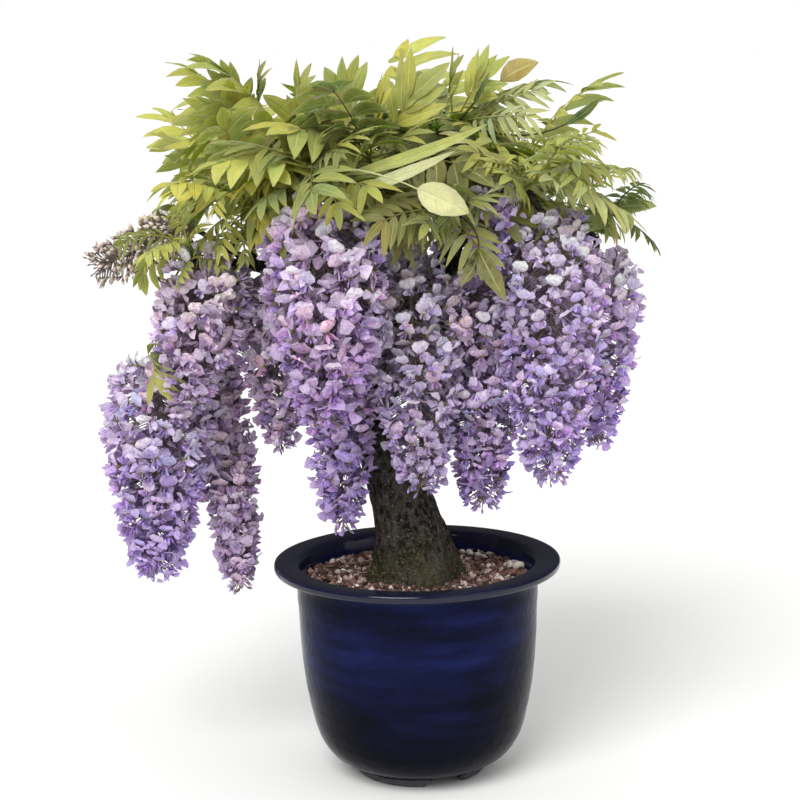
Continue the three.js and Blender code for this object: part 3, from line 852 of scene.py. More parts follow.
@dataclass
class Pot:
    """The glazed pot, turned on a wheel: a flat flange rim, a round belly and a notched foot ring.

    `body` gives radii and heights, `flange` the same from the throat's edge, `foot` the ring's two radii,
    `beads` each raised line's height and size, and `notch` a circle's radius and how deep its middle is.
    """

    height: float = (POT_HIGH[2] - POT_LOW[2]) / MM
    throat: float = (POT_HIGH[0] - POT_LOW[0]) / MM / 2 - 24
    wall: float = 9.0
    floor: Pair = (11.0, 24.0)
    drain: float = 12.0
    foot: Pair = (53.0, 69.0)
    body: tuple = ((76, 12), (93, 22), (107, 43), (116, 78), (121.5, 115), (124.5, 160), (126, 206))
    flange: tuple = (
        (1, -18), (2.5, -11), (9, -9), (20, -9), (24, -8), (24, -1),
        (19, 0), (3, -0.6), (-1.5, -2), (-5, -8), (-8.5, -20),
    )
    beads: tuple = ((199.0, 1.0), (190.5, 0.6))
    bead_width: float = 2.2
    notch: Pair = (24.0, 11.0)
    notch_azimuths: tuple = (-68, 52, 172)
    around: int = 144
    rings: float = 0.12
    swell: float = 0.5
    plain_below: float = 16.0

    def profile(self) -> Array:
        """The closed outline: from the drain under the floor, out round the wall and back in over it.

        Returns:
            Its points, as (radius, height).
        """
        under, top = self.floor
        inner_foot, outer_foot = self.foot
        body = spline(np.array(self.body, float), 7)
        for height, size in self.beads:
            body[:, 0] += size * np.exp(-(((body[:, 1] - height) / self.bead_width) ** 2))
        flange = rounded(np.array(self.flange) + (self.throat, self.height), 3)
        slope = unit(np.gradient(body, axis=0))
        inside = body + self.wall * np.stack([-slope[:, 1], slope[:, 0]], -1)
        inside = inside[inside[:, 1] > top + 2][::-1]
        ring = ((inner_foot, under), (inner_foot, 0), (outer_foot, 0), (outer_foot + 1, 10))
        foot = rounded(np.array(ring), 2)
        floor = np.array([(inside[-1][0] - 8, top), (self.drain, top), (self.drain, under), (40, under)])
        return np.concatenate([foot, body, flange, inside, floor])

    def surface(self) -> Array:
        """The turned wall with its throwing rings, and the foot raised over the notches.

        Returns:
            Points of a skin that closes on itself, (profile, around, 3). A throwing ring stands out by
            rings sin(0.9 z + 0.7 sin(0.13 z)). A notch is a circle's arc across the foot:
            sqrt(r^2 - s^2) - drop, where s is the distance round the foot from its middle.
        """
        points = lathe(self.profile(), self.around)
        ripple = self.rings * np.sin(points[..., 2] * 0.9 + 0.7 * np.sin(points[..., 2] * 0.13))
        swell = self.swell * (layered_noise(points * 0.02, 2, 5) - 0.5)
        outward = unit(points * (1, 1, 0))
        points = points + outward * (ripple + swell)[..., None] * (points[..., 2:] > self.plain_below)
        radius, drop = self.notch
        angle = np.degrees(np.arctan2(points[..., 1], points[..., 0]))
        for azimuth in self.notch_azimuths:
            away = (angle - azimuth + 180) % 360 - 180
            distance = np.radians(away) * np.mean(self.foot)
            arch = np.sqrt(np.maximum(radius**2 - distance**2, 0)) - drop
            raised = np.minimum(arch, self.floor[0] - 1)
            in_foot = points[..., 2] < self.floor[0]
            points[..., 2] = np.where(in_foot, np.maximum(points[..., 2], raised), points[..., 2])
        return points

    def build(self, finish: Material) -> None:
        """Makes the pot's piece; its skin is closed both round the axis and round its profile.

        Args:
            finish: its material.
        """
        points = self.surface()
        rings, around = points.shape[:2]
        index = np.arange(rings * around).reshape(rings, around)
        right, down = np.roll(index, -1, 1), np.roll(index, -1, 0)
        quads = np.stack([index, right, np.roll(down, -1, 1), down], -1).reshape(-1, 4)
        piece = Piece("glazed_pot", "glazed_pot", ("pot",))
        piece.gather(points.reshape(-1, 3), np.ones(4), np.zeros(2), (quads,), finish, True)
        piece.build()


# ---- Soil ----


def lump(rings: int, around: int) -> Array:
    """A ball of radius one: (sin t cos a, sin t sin a, cos t), (rings, around, 3)."""
    t = np.linspace(0, np.pi, rings)[:, None]
    return cylinder(np.sin(t), ring_angles(around), np.cos(t))


def random_frames(rng: Draws, count: int) -> Array:
    """Axes turned at random.

    Args:
        rng: the draws.
        count: how many.

    Returns:
        The axes as rows, (count, 3, 3).
    """
    first = unit(rng.normal(size=(count, 3)))
    second = unit(np.cross(first, rng.normal(size=(count, 3))))
    return np.stack([first, second, np.cross(first, second)], 1)


@dataclass
class Soil:
    """The filling of bark and clay crumb, with loose granules, chips and a few pale stones on top.

    `wall` gives the filling's radii and heights against the pot, `hole` the stem's radius and bottom, and
    `stones` each stone's place and radius.
    """

    top: float = 206.0
    edge: float = 116.0
    foot: float = 24.3
    wall: tuple = ((76, 24.3), (96, 46), (105, 80), (111, 115), (115, 160), (117, 198))
    hole: Pair = (44.6, 166.0)
    roughness: float = 5.0
    rings: int = 34
    around: int = 144
    grain_start: float = 40.0
    chip_start: float = 54.0
    granules: tuple = ((lump(4, 6), 1300, (1.5, 4.2)), (lump(3, 5), 2600, (0.9, 2.2)))
    chips: int = 120
    shades: tuple = (
        "665049", "5a443e", "866c64", "46362f", "7e5e58", "b09a92", "503c38", "c4b6ac", "744f4a",
    )
    chip_shades: tuple = ("3a2a22", "7c6a58", "56402f")
    stones: tuple = (
        (107, 22, 6.5), (99, 31, 4), (58, 84, 4.5), (66, 80, 3.5),
        (50, 90, 4), (72, 72, 3), (-62, -40, 3), (-78, 20, 3),
    )
    seed: int = 3

    def body(self) -> Array:
        """The filling: a turned outline whose top is raised and lowered by layered noise.

        Returns:
            Its skin.
        """
        inner, bottom = self.hole
        over = [(radius, self.top) for radius in np.linspace(self.edge, inner, self.rings)]
        profile = np.array([(0, self.foot), *self.wall, *over, (inner, bottom), (0, bottom)], float)
        points = lathe(profile, self.around)
        rough = self.roughness * (layered_noise(points * 0.11, 4, 9) - 0.5)
        points[..., 2] += np.where(points[..., 2] == self.top, rough, 0)
        return points

    def granule_skins(self, rng: Draws, form: Array, count: int, sizes: Pair) -> Arrays:
        """Angular grains laid over the top by the golden angle, as dented balls of few faces.

        Args:
            rng: the draws.
            form: the ball that they are dented from.
            count: how many.
            sizes: the smallest and the largest radius.

        Returns:
            The skins and their tints.
        """
        i = np.arange(count)
        start = self.grain_start
        radius = np.sqrt(start**2 + (i + rng.random(count)) / count * (self.edge**2 - start**2))
        angle = i * GOLDEN + rng.normal(0, 0.1, count)
        size = rng.uniform(*sizes, count) * np.where(rng.random(count) < 0.08, 1.4, 1)
        origins = cylinder(radius, angle, self.top + rng.uniform(-0.5, 3.0, count))
        skins = copies(form, origins, random_frames(rng, count), size)
        away = skins - origins[:, None, None]
        dents = rng.uniform(0.72, 1.28, skins.shape[:3] + (1,))
        skins = origins[:, None, None] + away * dents * rng.uniform(0.7, 1.2, (count, 1, 1, 3))
        tint = random_colours(self.shades, rng, count)
        return skins, tint * rng.uniform(0.8, 1.45, (count, 1, 1, 1))

    def chip_skins(self, rng: Draws) -> Arrays:
        """Flat splinters of bark lying on the grains.

        Args:
            rng: the draws.

        Returns:
            The skins and their tints.
        """
        angle = rng.uniform(0, 2 * np.pi, self.chips)
        radius = np.sqrt(rng.uniform(self.chip_start**2, (self.edge - 6) ** 2, self.chips))
        origins = cylinder(radius, angle, self.top + rng.uniform(2, 4.5, self.chips))
        turn = rng.uniform(0, 2 * np.pi, self.chips)
        tilt = rng.normal(0, 0.22, (self.chips, 2))
        first = unit(cylinder(1.0, turn, tilt[:, 0]))
        second = unit(np.cross(np.stack([0 * turn, tilt[:, 1], 1 + 0 * turn], -1), first))
        frames = np.stack([first, second, np.cross(first, second)], 1)
        form = lump(4, 5) * (1.0, 0.42, 0.16)
        skins = copies(form, origins, frames, rng.uniform(3.5, 8, self.chips))
        return skins, random_colours(self.chip_shades, rng, self.chips)

    def build(self, crumb: Material, grain: Material, stone: Material) -> None:
        """Makes the filling's piece and the piece of what lies on it.

        Args:
            crumb: the filling's material.
            grain: the granules' and chips' material.
            stone: the pale stones' material.
        """
        rng = np.random.default_rng(self.seed)
        filling = Piece("soil_filling", "bark_mix", ("soil",))
        filling.add(self.body(), crumb, colour("5a443f"))
        filling.build()
        loose = Piece("soil_granules", "bark_mix")
        for form, count, sizes in self.granules:
            skins, tint = self.granule_skins(rng, form, count, sizes)
            loose.add(skins, grain, tint, smooth=False)
        skins, tint = self.chip_skins(rng)
        loose.add(skins, grain, tint, smooth=False)
        spots = np.array(self.stones, float)
        origins = np.stack([spots[:, 0], spots[:, 1], self.top + 2 + 0.4 * spots[:, 2]], -1)
        pebbles = copies(lump(8, 10) * (1.2, 1, 0.7), origins, random_frames(rng, len(spots)), spots[:, 2])
        loose.add(pebbles, stone, colour("cfc9bd"))
        loose.build()


# ---- Wood and moss ----

LIMBS = {
    "trunk": Path((0, 0, 205), (0, 0, 290), (-60, 0, 330), (-38, 0, 450)),
    "left": Path((-39, 0, 395), (-80, -5, 520), (-190, -25, 610), (-246, -6, 475)),
    "frontLeft": Path((-38, 0, 430), (-45, -25, 520), (-62, -60, 600), (-76, -92, 622)),
    "frontRight": Path((-38, 0, 440), (0, -25, 510), (55, -45, 585), (118, -52, 612)),
    "right": Path((-38, 0, 445), (30, 10, 540), (120, 10, 600), (188, 0, 560)),
    "back": Path((-38, 0, 440), (-40, 40, 540), (-10, 100, 620), (20, 150, 600)),
    "backLeft": Path((-39, 0, 425), (-90, 30, 520), (-150, 90, 600), (-195, 110, 545)),
    "top": Path((-38, 0, 445), (-38, 5, 520), (-20, 5, 600), (-15, 0, 650)),
}


@dataclass(frozen=True)
class Twig:
    """The straight twig that a raceme or a leafy stem hangs from, from a limb's middle to its end."""

    limb: str
    at: float
    anchor: Triple
    gap: float = 0.3

    def root(self) -> Array:
        """Where it leaves the middle of its limb."""
        return LIMBS[self.limb].at(self.at)

    def out(self) -> Array:
        """The direction in which it ends."""
        return unit(np.array(self.anchor) - self.root())

    def end(self) -> Array:
        """Where what it carries starts, a hair's breadth past it."""
        return np.array(self.anchor) + self.gap * self.out()


@dataclass
class Wood:
    """The trunk with its root flare and ridged bark, the limbs it forks into and their twigs.

    `stub` gives the buried stub's radius and bottom, a knot its share of the trunk's length, its azimuth and
    its size, `knot_reach` how far knots go round and up the trunk, and a grid its rings and points in a ring.
    """

    twigs: list[Twig]
    base: float = 47.0
    tip: float = 13.0
    power: float = 1.7
    foot: float = 205.0
    stub: Pair = (44.0, 166.3)
    knots: tuple = (
        (0.34, 200, 5), (0.52, 60, 4), (0.68, 320, 4), (0.16, 290, 5), (0.8, 150, 3), (0.45, 265, 3.5),
    )
    knot_reach: Pair = (13.0, 15.0)
    knot_height: float = 250.0
    trunk_grid: tuple[int, int] = (150, 104)
    limb_grid: tuple[int, int] = (70, 14)
    twig_grid: tuple[int, int] = (14, 8)
    limb_radii: Pair = (10.0, 4.2)
    twig_radii: Pair = (4.0, 2.4)

    def taper(self, share: Array) -> Array:
        """The trunk's plain radius: tip + (base - tip)(1 - share)^power."""
        return self.tip + (self.base - self.tip) * (1 - share) ** self.power

    def bark(self, angle: Array, share: Array) -> Array:
        """How far the bark stands out: noise folded into plates, fine grain over it, both weaker upwards.

        Args:
            angle: round the trunk.
            share: of its length.

        Returns:
            Millimetres.
        """
        around = cylinder(1.0, angle, share * 3.2)
        warp = 0.5 * layered_noise(around * 2.2, 3, 2)[..., None]
        plates = np.abs(2 * layered_noise(around * (4.2, 4.2, 3.0) + warp, 3, 4) - 1)
        grain = layered_noise(around * (16, 16, 9), 3, 6) - 0.5
        return (2.8 * plates**0.7 - 1.2 + 2.0 * grain) * (0.55 + 0.45 * (1 - share))

    def trunk(self) -> Array:
        """The trunk: its taper, buttresses and twisting ridges, with fissured bark and knots over them.

        Returns:
            Rings whose radius is taper (1 + buttress + ridge) + flare + bark + knots, after the straight
            stub. A knot swells by size exp(-near), and is hollowed by 0.7 exp(-5 near) in its middle.
        """
        rings, around = self.trunk_grid
        share = np.linspace(0, 1, rings)[:, None]
        angle = ring_angles(around)[None]
        taper = self.taper(share)
        buttress = 0.12 * np.cos(-4 * angle + 0.8) * (1 - share) ** 3
        ridge = 0.05 * np.cos(-3 * angle + 9 * share)
        flare = 2.5 * np.exp(-share / 0.02) * (1 + 0.7 * np.cos(5 * angle + 1))
        radii = taper * (1 + buttress + ridge) + flare + self.bark(angle, share)
        wide, high = self.knot_reach
        for at, azimuth, size in self.knots:
            turn = (angle - math.radians(azimuth) + np.pi) % (2 * np.pi) - np.pi
            near = (turn * taper / wide) ** 2 + ((share - at) * self.knot_height / high) ** 2
            radii = radii + size * np.exp(-near) * (1 - 0.7 * np.exp(-5 * near))
        skin = tube(LIMBS["trunk"], radii, around, share[:, 0], np.array([-1.0, 0, 0]))
        radius, bottom = self.stub
        cap = skin[1] * (1, 1, 0)
        stub = [unit(cap) * radius + np.array([0, 0, height]) for height in (bottom, self.foot - 1)]
        pole = np.broadcast_to(np.array([0, 0, bottom]), stub[0].shape)
        return np.stack([pole, *stub, *skin[1:]])

    def limb(self, path: Path) -> Array:
        """A limb whose radius narrows to its tip, with lumpy bark: radius (1 + 0.55 noise).

        Args:
            path: its centreline.

        Returns:
            Its skin.
        """
        rings, around = self.limb_grid
        share = np.linspace(0, 1, rings)
        radius = np.interp(share, [0, 1], self.limb_radii)[:, None]
        angle = ring_angles(around)[None]
        bark = cylinder(1.4, angle, share[:, None] * path.length / 9) + path.length
        return tube(path, radius * (1 + 0.55 * (layered_noise(bark, 4, 8) - 0.5)), around, share)

    def twig(self, twig: Twig) -> Array:
        """A twig that narrows to its end, with joints swelling along it: radius (1 + 0.22 cos(4 pi t)^6).

        Args:
            twig: where it runs.

        Returns:
            Its skin.
        """
        rings, around = self.twig_grid
        share = np.linspace(0, 1, rings)
        radius = np.interp(share, [0, 1], self.twig_radii) * (1 + 0.22 * np.cos(share * 4 * np.pi) ** 6)
        return tube(Path(twig.root(), np.array(twig.anchor)), radius, around, share)

    def build(self, bark: Material) -> None:
        """Makes the wood's pieces: the trunk, and the limbs with their twigs.

        Args:
            bark: their material.
        """
        trunk = Piece("trunk", "bark", ("wisteria_wood",))
        trunk.add(self.trunk(), bark)
        trunk.build()
        limbs = Piece("limbs_and_twigs", "bark")
        for name, path in LIMBS.items():
            if name != "trunk":
                limbs.add(self.limb(path), bark)
        for twig in self.twigs:
            limbs.add(self.twig(twig), bark)
        limbs.build()


@dataclass
class Moss:
    """Short green tufts on the soil round the trunk's foot and up its lower bark."""

    wood: Wood
    tufts: int = 2200
    high: float = 262.0
    creep: float = 14.0
    bare: float = 0.56
    sizes: Pair = (1.6, 3.6)
    spike: tuple = ((0.0, -0.6), (0.34, 0.0), (0.26, 0.5), (0.0, 1.0))
    shades: tuple = ("4e4b2c", "6a6440", "383422")
    seed: int = 17

    def build(self, finish: Material) -> None:
        """Makes the moss: three-sided spikes, thickest near the soil, that lean out from the bark.

        Args:
            finish: their material.
        """
        rng = np.random.default_rng(self.seed)
        climb = rng.random(self.tufts) ** 2.2
        angle = rng.uniform(0, 2 * np.pi, self.tufts)
        share = climb * (self.high - self.wood.foot) / LIMBS["trunk"].length
        outward = cylinder(1.0, angle, 0.0)
        buttress = 0.12 * np.cos(4 * (np.pi - angle) + 0.8) * (1 - share) ** 3
        spread = np.where(climb < 0.02, rng.uniform(0, self.creep, self.tufts), 0)
        radius = self.wood.taper(share) * (1 + buttress) + spread + 5 * np.exp(-share / 0.02)
        origins = LIMBS["trunk"].at(share) + outward * radius[:, None]
        kept = layered_noise(origins * 0.045, 3, 21) + 0.16 * (1 - climb) > self.bare
        lean = unit(outward * 0.8 + (0, 0, 0.8) + rng.normal(0, 0.45, (self.tufts, 3)))
        side = unit(np.cross(lean, rng.normal(size=(self.tufts, 3))))
        frames = np.stack([side, np.cross(lean, side), lean], 1)
        form = lathe(np.array(self.spike), 3)
        skins = copies(form, origins, frames, rng.uniform(*self.sizes, self.tufts))[kept]
        piece = Piece("moss", "bark")
        piece.add(skins, finish, random_colours(self.shades, rng, len(skins)), smooth=False)
        piece.build()


# ---- Florets and racemes ----

# Points round a blade: how far across it each lies, and how far to the front of its thickness.
SIX_ROUND = (np.array([-1, -0.5, 0, 0.5, 1, 0]), np.array([0, 0.7, 1, 0.7, 0, -1]))
FOUR_ROUND = (np.array([-1.0, 0, 1, 0]), np.array([0.0, 1, 0, -1]))

STALK_GREEN = colour("85786e")
CUP_TINTS = (colour("8a7488"), colour("8a845e"))

# How the parts of a floret differ in colour from its banner.
WING_TONE = (0.86, 0.78, 0.98, 1)
KEEL_TONE = (0.72, 0.6, 0.92, 1)
SHUT_TONE = (0.85, 0.8, 0.95, 1)
# Painted shade on the loose petals: darkest deep inside the raceme, lightening towards its outline.
INNER_SHADE, SHADE_LIFT_OUTWARD = np.array([0.72, 0.6, 0.74]), np.array([0.3, 0.4, 0.26])


def arc(share: Array, length: float, start: float, end: float) -> Arrays:
    """A curve whose direction b turns evenly: the integral of (sin b, cos b) along it.

    Args:
        share: how far along it, as a share of its length.
        length: its length.
        start: its first direction, in degrees from straight up.
        end: its last direction.

    Returns:
        How far forward and how far up it has come.
    """
    first, turn = math.radians(start), math.radians(end - start)
    over = length * (math.cos(first) - np.cos(first + turn * share)) / turn
    up = length * (np.sin(first + turn * share) - math.sin(first)) / turn
    return over, up


def on_blade(u: Array, v: Array) -> Array:
    """The place of each point on its blade: (u, (v + 1) / 2)."""
    return np.stack(np.broadcast_arrays(u, (v + 1) / 2), -1)


@dataclass(frozen=True)
class Floret:
    """One pea flower in its own axes, x forward, y left and z up, with its stalk's end at the origin.

    Its banner stands up and bends back, two wings and the keel point forward under it, and a cup holds them.
    Each part has its length and width, and `open_to` is the banner's last direction in degrees.
    """

    banner: Pair = (14.5, 16.5)
    wing: Pair = (12.5, 6.4)
    open_to: float = -38.0
    petal: Pair = (15.0, 6.5)
    bud: Pair = (10.5, 2.9)
    cup: tuple = ((0, -0.8), (1.7, 0.4), (2.7, 4.4), (0, 3.2))

    def banner_form(self) -> Arrays:
        """The banner, round and notched: its sides bend back by 2.8 v^2, and its rim is ruffled.

        Returns:
            Its points and their places on the blade.
        """
        u = np.array([0, 0.12, 0.38, 0.7, 0.97, 0.86])[:, None]
        breadth = np.array([0, 0.5, 0.92, 1, 0.6, 0])[:, None]
        v, front = SIX_ROUND
        length, width = self.banner
        forward, up = arc(u, length, 40, self.open_to)
        bent = 2.8 * v**2 + 1.7 * (1 - v**2) ** 4
        ruffle = 2.1 * np.sin(6.5 * v + 4 * u + self.open_to) * u**2
        x = 3.2 + forward - bent * np.sin(np.pi * np.minimum(u, 0.9) ** 0.7) + ruffle + 0.2 * front
        return np.stack([x, width / 2 * breadth * v, 0.6 + up + 0.1 * front], -1), on_blade(u, v)

    def wing_form(self, side: float) -> Arrays:
        """One wing, a narrow upright blade that spreads from the middle plane: y = side (1 + 4.2 u).

        Args:
            side: 1 for the left wing and -1 for the right one.

        Returns:
            Its points and their places on the blade.
        """
        u = np.array([0, 0.3, 0.72, 1])[:, None]
        v, front = FOUR_ROUND
        length, height = self.wing
        forward, drop = arc(u, length, 100, 66)
        half = height / 2 * np.sin(np.pi * u**0.72) ** 0.8
        y = side * (1.0 + 4.2 * u - 0.8 * v * u) + 0.4 * front
        return np.stack([3 + forward + 0 * v, y, drop + half * v], -1), on_blade(u, v)

    def keel_form(self) -> Array:
        """The keel, a boat between the wings that curves up at its end: half height 2 sin(pi u^0.8).

        Returns:
            Its points.
        """
        u = np.array([0, 0.35, 0.75, 1])[:, None]
        v, front = FOUR_ROUND
        forward, drop = arc(u, 0.92 * self.wing[0], 118, 70)
        half = 2.0 * np.sin(np.pi * u**0.8)
        return np.stack([3 + forward + 0 * v, 1.1 * front * np.sin(np.pi * u), drop - 0.8 + half * v], -1)

    def petal_form(self) -> Array:
        """A single curled petal, as fills the inside of a raceme: half width 6.5 sin(pi u^0.7)^0.8.

        Returns:
            Its points.
        """
        u = np.array([0, 0.35, 0.8, 1])[:, None]
        v, front = FOUR_ROUND
        length, width = self.petal
        forward, up = arc(u, length, 30, -60)
        half = width * np.abs(np.sin(np.pi * u**0.7)) ** 0.8
        return np.stack([forward + 1.2 * v * v * u + 0.4 * front, half * v, up + 0 * v], -1)

    def cup_form(self) -> Array:
        """The cup that holds the petals, a short round bell."""
        return lathe(np.array(self.cup, float), 5)[..., [2, 0, 1]]

    def bud_form(self) -> Arrays:
        """A closed bud: a slim pod that curves up, radius 2.9 sin(pi u^0.8)^0.8.

        Returns:
            Its points and their places on the blade.
        """
        u = np.array([0, 0.15, 0.45, 0.8, 1])[:, None]
        a = ring_angles(6)
        length, thick = self.bud
        forward, up = arc(u, length, 100, 62)
        radius = thick * np.sin(np.pi * u**0.8) ** 0.8
        form = np.stack([1.5 + forward + 0 * a, 0.8 * radius * np.cos(a), up + radius * np.sin(a)], -1)
        return form, np.stack(np.broadcast_arrays(u, 0.5 + 0.3 * np.cos(a)), -1)


class Shade(Enum):
    """Petal colours of a raceme, at its top and at its tip."""

    PINK = ("fff0fb", "c4a6d6")
    LILAC = ("fbeef8", "c6aeea")
    VIOLET = ("f2e4ee", "b69cd8")
    GREY = ("e8e4e2", "bcaace")
    DUSKY = ("fdeef0", "d6c0dc")
    BUD = ("f2e8dc", "d6c8c0")

    def blend(self, share: Array) -> Array:
        """Colours at shares of the raceme's length, held at the ends."""
        top, tip = (colour(code) for code in self.value)
        return top + (tip - top) * np.clip(share, 0, 1)[:, None]


# The record's material slot of a raceme, where it isn't the usual one.
SHADE_SLOTS = {Shade.PINK: "florets_pale", Shade.BUD: "buds"}


@dataclass
class Petals:
    """The finishes that a raceme's parts are dressed in."""

    banner: Material
    keel: Material
    cup: Material


@dataclass
class Stations:
    """Where a raceme's florets stand: shares along the rachis, sizes, stalk roots, origins and axes."""

    share: Array
    size: Array
    root: Array
    origin: Array
    frames: Array

    def spread(self, form: Array, chosen: Array, scale: float = 1.0) -> Array:
        """Copies of a form on the chosen florets.

        Args:
            form: its points, in a floret's axes.
            chosen: whether each floret gets one.
            scale: its size beside the floret's.

        Returns:
            The copies' points.
        """
        return copies(form, self.origin[chosen], self.frames[chosen], scale * self.size[chosen])


@dataclass
class Raceme:
    """A hanging bunch: florets on fine stalks round a curved rachis, filled out inside by loose petals."""

    name: str
    twig: Twig
    tip: Triple
    radius: float
    shade: Shade
    density: float
    bloom: float
    seed: int
    loose: float = 1.9
    rachis: Pair = (2.1, 0.8)

    def path(self) -> Path:
        """The rachis: it leaves in the twig's direction, then hangs to its tip.

        Returns:
            Its curve.
        """
        start, tip = self.twig.end(), np.array(self.tip, float)
        length = np.linalg.norm(tip - start)
        back = unit(start - tip) if self.shade is Shade.BUD else UP
        return Path(start, start + 0.14 * length * self.twig.out(), tip + 0.6 * length * back, tip)

    def outline(self, share: Array) -> Array:
        """Radius over the florets: the smooth step widens it to a quarter, then it narrows by 0.65 t^2.4.

        Args:
            share: shares along the rachis.

        Returns:
            The radius at each.
        """
        t = np.clip(share / 0.25, 0, 1)
        narrowing = 0.3 if self.shade is Shade.BUD else 0.65
        return self.radius * (0.6 + 0.4 * t * t * (3 - 2 * t)) * (1 - narrowing * share**2.4)

    def stations(self, path: Path, rng: Draws) -> Stations:
        """Where the florets stand: round the rachis by the golden angle, every fourth deeper inside.

        Args:
            path: the rachis.
            rng: the draws.

        Returns:
            The florets' places.
        """
        count = int(self.density * path.length * self.radius)
        i = np.arange(count)
        share = np.clip(0.05 + 0.95 * ((i + rng.uniform(0, 1, count)) / count) ** 0.95, 0, 0.995)
        turn = i * GOLDEN + rng.normal(0, 0.25, count)
        along = path.along(share)
        side = UP if self.shade is Shade.BUD else np.array([1.0, 0, 0])
        across = unit(side - (along @ side)[:, None] * along)
        out = np.cos(turn)[:, None] * across + np.sin(turn)[:, None] * np.cross(along, across)
        taper = np.interp(share, [0, 0.55, 0.85, 1], [1.04, 1, 0.8, 0.55])
        size = self.bloom * rng.uniform(0.84, 1.16, count) * taper
        depth = 1 - 0.5 * (i % 4 == 3) * rng.uniform(0.5, 1, count) - 0.1 * rng.random(count)
        away = np.maximum(self.outline(share) * depth - 11 * size, 1.0)
        lean = np.radians(rng.normal(26, 20, count) + 20 * share)
        level, steep = np.cos(lean)[:, None], np.sin(lean)[:, None]
        forward = unit(level * out + steep * along + rng.normal(0, 0.3, (count, 3)))
        up = steep * out - level * along + rng.normal(0, 0.38, (count, 3))
        left = unit(np.cross(up, forward))
        frames = np.stack([forward, left, np.cross(forward, left)], 1)
        origin = path.at(share) + out * away[:, None]
        lower = np.minimum(share, 0.97) - np.minimum(0.5 * away / path.length, 0.9 * share)
        return Stations(share, size, path.at(lower), origin, frames)

    def stalks(self, at: Stations, along: Array) -> Array:
        """Each floret's stalk: three points round a line from the rachis.

        Args:
            at: where the florets stand.
            along: the rachis's direction at each.

        Returns:
            The stalks' skins.
        """
        line = unit(at.origin - at.root)
        side = unit(np.cross(line, along) + 1e-6)
        other = np.cross(line, side)
        angle = np.array([0, 2.094, 4.189])
        ring = np.cos(angle)[:, None] * side[:, None] + np.sin(angle)[:, None] * other[:, None]
        rows = [(at.root, 0.0), (at.root, 0.65), (at.origin, 0.6), (at.origin, 0.0)]
        return np.stack([centre[:, None] + radius * ring for centre, radius in rows], 1)

    def loose_petals(self, path: Path, rng: Draws) -> Arrays:
        """Curled petals at random all through the raceme, out to 0.95 of its outline, with painted shade
        making them darker inside.

        Args:
            path: the rachis.
            rng: the draws.

        Returns:
            Their skins and their tints.
        """
        count = int(self.loose * self.density * path.length * self.radius)
        share = rng.uniform(0.03, 0.94, count)
        out = unit(rng.normal(size=(count, 3)) * (1, 1, 0.2))
        depth = np.sqrt(rng.uniform(0.04, 1, count))
        origins = path.at(share) + out * (0.95 * self.outline(share) * depth)[:, None]
        sizes = self.bloom * rng.uniform(0.6, 1.1, count)
        skins = copies(Floret().petal_form(), origins, random_frames(rng, count), sizes)
        tint = self.shade.blend(share + rng.normal(0, 0.2, count)) * rng.uniform(0.84, 1.16, (count, 1))
        # Painted shade: petals that lie deeper inside the raceme are darkened.
        tint[:, :3] *= INNER_SHADE + SHADE_LIFT_OUTWARD * depth[:, None]
        return skins, tint[:, None, None]

    def tones(self, share: Array, rng: Draws) -> Array:
        """Each floret's colour: paler at the top, some lighter or darker, some warmer or cooler.

        Args:
            share: the florets' shares along the rachis.
            rng: the draws.

        Returns:
            The colours, which can be spread over the florets' points.
        """
        count = len(share)
        tone = self.shade.blend(1.15 * share + rng.normal(0, 0.2, count))
        tone[:, :3] *= rng.uniform(0.78, 1.28, (count, 1))
        warm = rng.normal(0.012, 0.07, count)
        tone[:, :3] *= np.stack([1 + warm, 1 - 0.3 * abs(warm), 1 - 0.5 * warm], -1)
        return np.minimum(tone, 1)[:, None, None]

    def build(self, finishes: Petals) -> None:
        """Makes the raceme's piece: the rachis, the florets, the loose petals and the buds at the tip.

        Args:
            finishes: its materials.
        """
        slot = SHADE_SLOTS.get(self.shade, "florets_violet")
        piece = Piece(f"florets_{self.name}", slot, (f"raceme_{self.name}",))
        rng = np.random.default_rng(100 + self.seed)
        path = self.path()
        share = np.linspace(0, 0.985, 30)
        piece.add(tube(path, np.interp(share, [0, 1], self.rachis), 7, share), finishes.cup, STALK_GREEN)
        at = self.stations(path, rng)
        count = len(at.share)
        tone = self.tones(at.share, rng)
        cups = np.where(rng.random((count, 1)) < 0.5, *CUP_TINTS)[:, None, None]
        shut = np.full(count, self.shade is Shade.BUD) | (at.share > rng.uniform(0.9, 1.05, count))
        floret = Floret()
        if not shut.all():
            skins, tint = self.loose_petals(path, rng)
            piece.add(skins, finishes.keel, tint)
            for variant in range(4):
                mine = ~shut & (np.arange(count) % 4 == variant)
                form, place = Floret(open_to=-70 + 21 * variant).banner_form()
                piece.add(at.spread(form, mine), finishes.banner, tone[mine], place)
            for side in (-1.0, 1.0):
                form, place = floret.wing_form(side)
                piece.add(at.spread(form, ~shut), finishes.keel, (tone * WING_TONE)[~shut], place)
            piece.add(at.spread(floret.keel_form(), ~shut), finishes.keel, (tone * KEEL_TONE)[~shut])
        form, place = floret.bud_form()
        dull = (1.0, 1.0, 1.0, 1) if self.shade is Shade.BUD else SHUT_TONE
        piece.add(at.spread(form, shut, 0.95), finishes.keel, (tone * dull)[shut], place)
        piece.add(at.spread(floret.cup_form(), np.ones(count, bool)), finishes.cup, cups)
        piece.add(self.stalks(at, path.along(at.share)), finishes.cup, STALK_GREEN)
        piece.build()


# ---- Leafy stems ----

GOLDEN_DEGREES = 137.508
FULL_ROWS = np.array([0, 0.07, 0.2, 0.38, 0.6, 0.8, 0.93, 1])[:, None]
FINE_ROWS = np.array([0, 0.16, 0.5, 0.82, 1])[:, None]
BLADE_PEAK = 0.318  # the greatest value of u^0.72 (1 - u)^0.92 on a blade


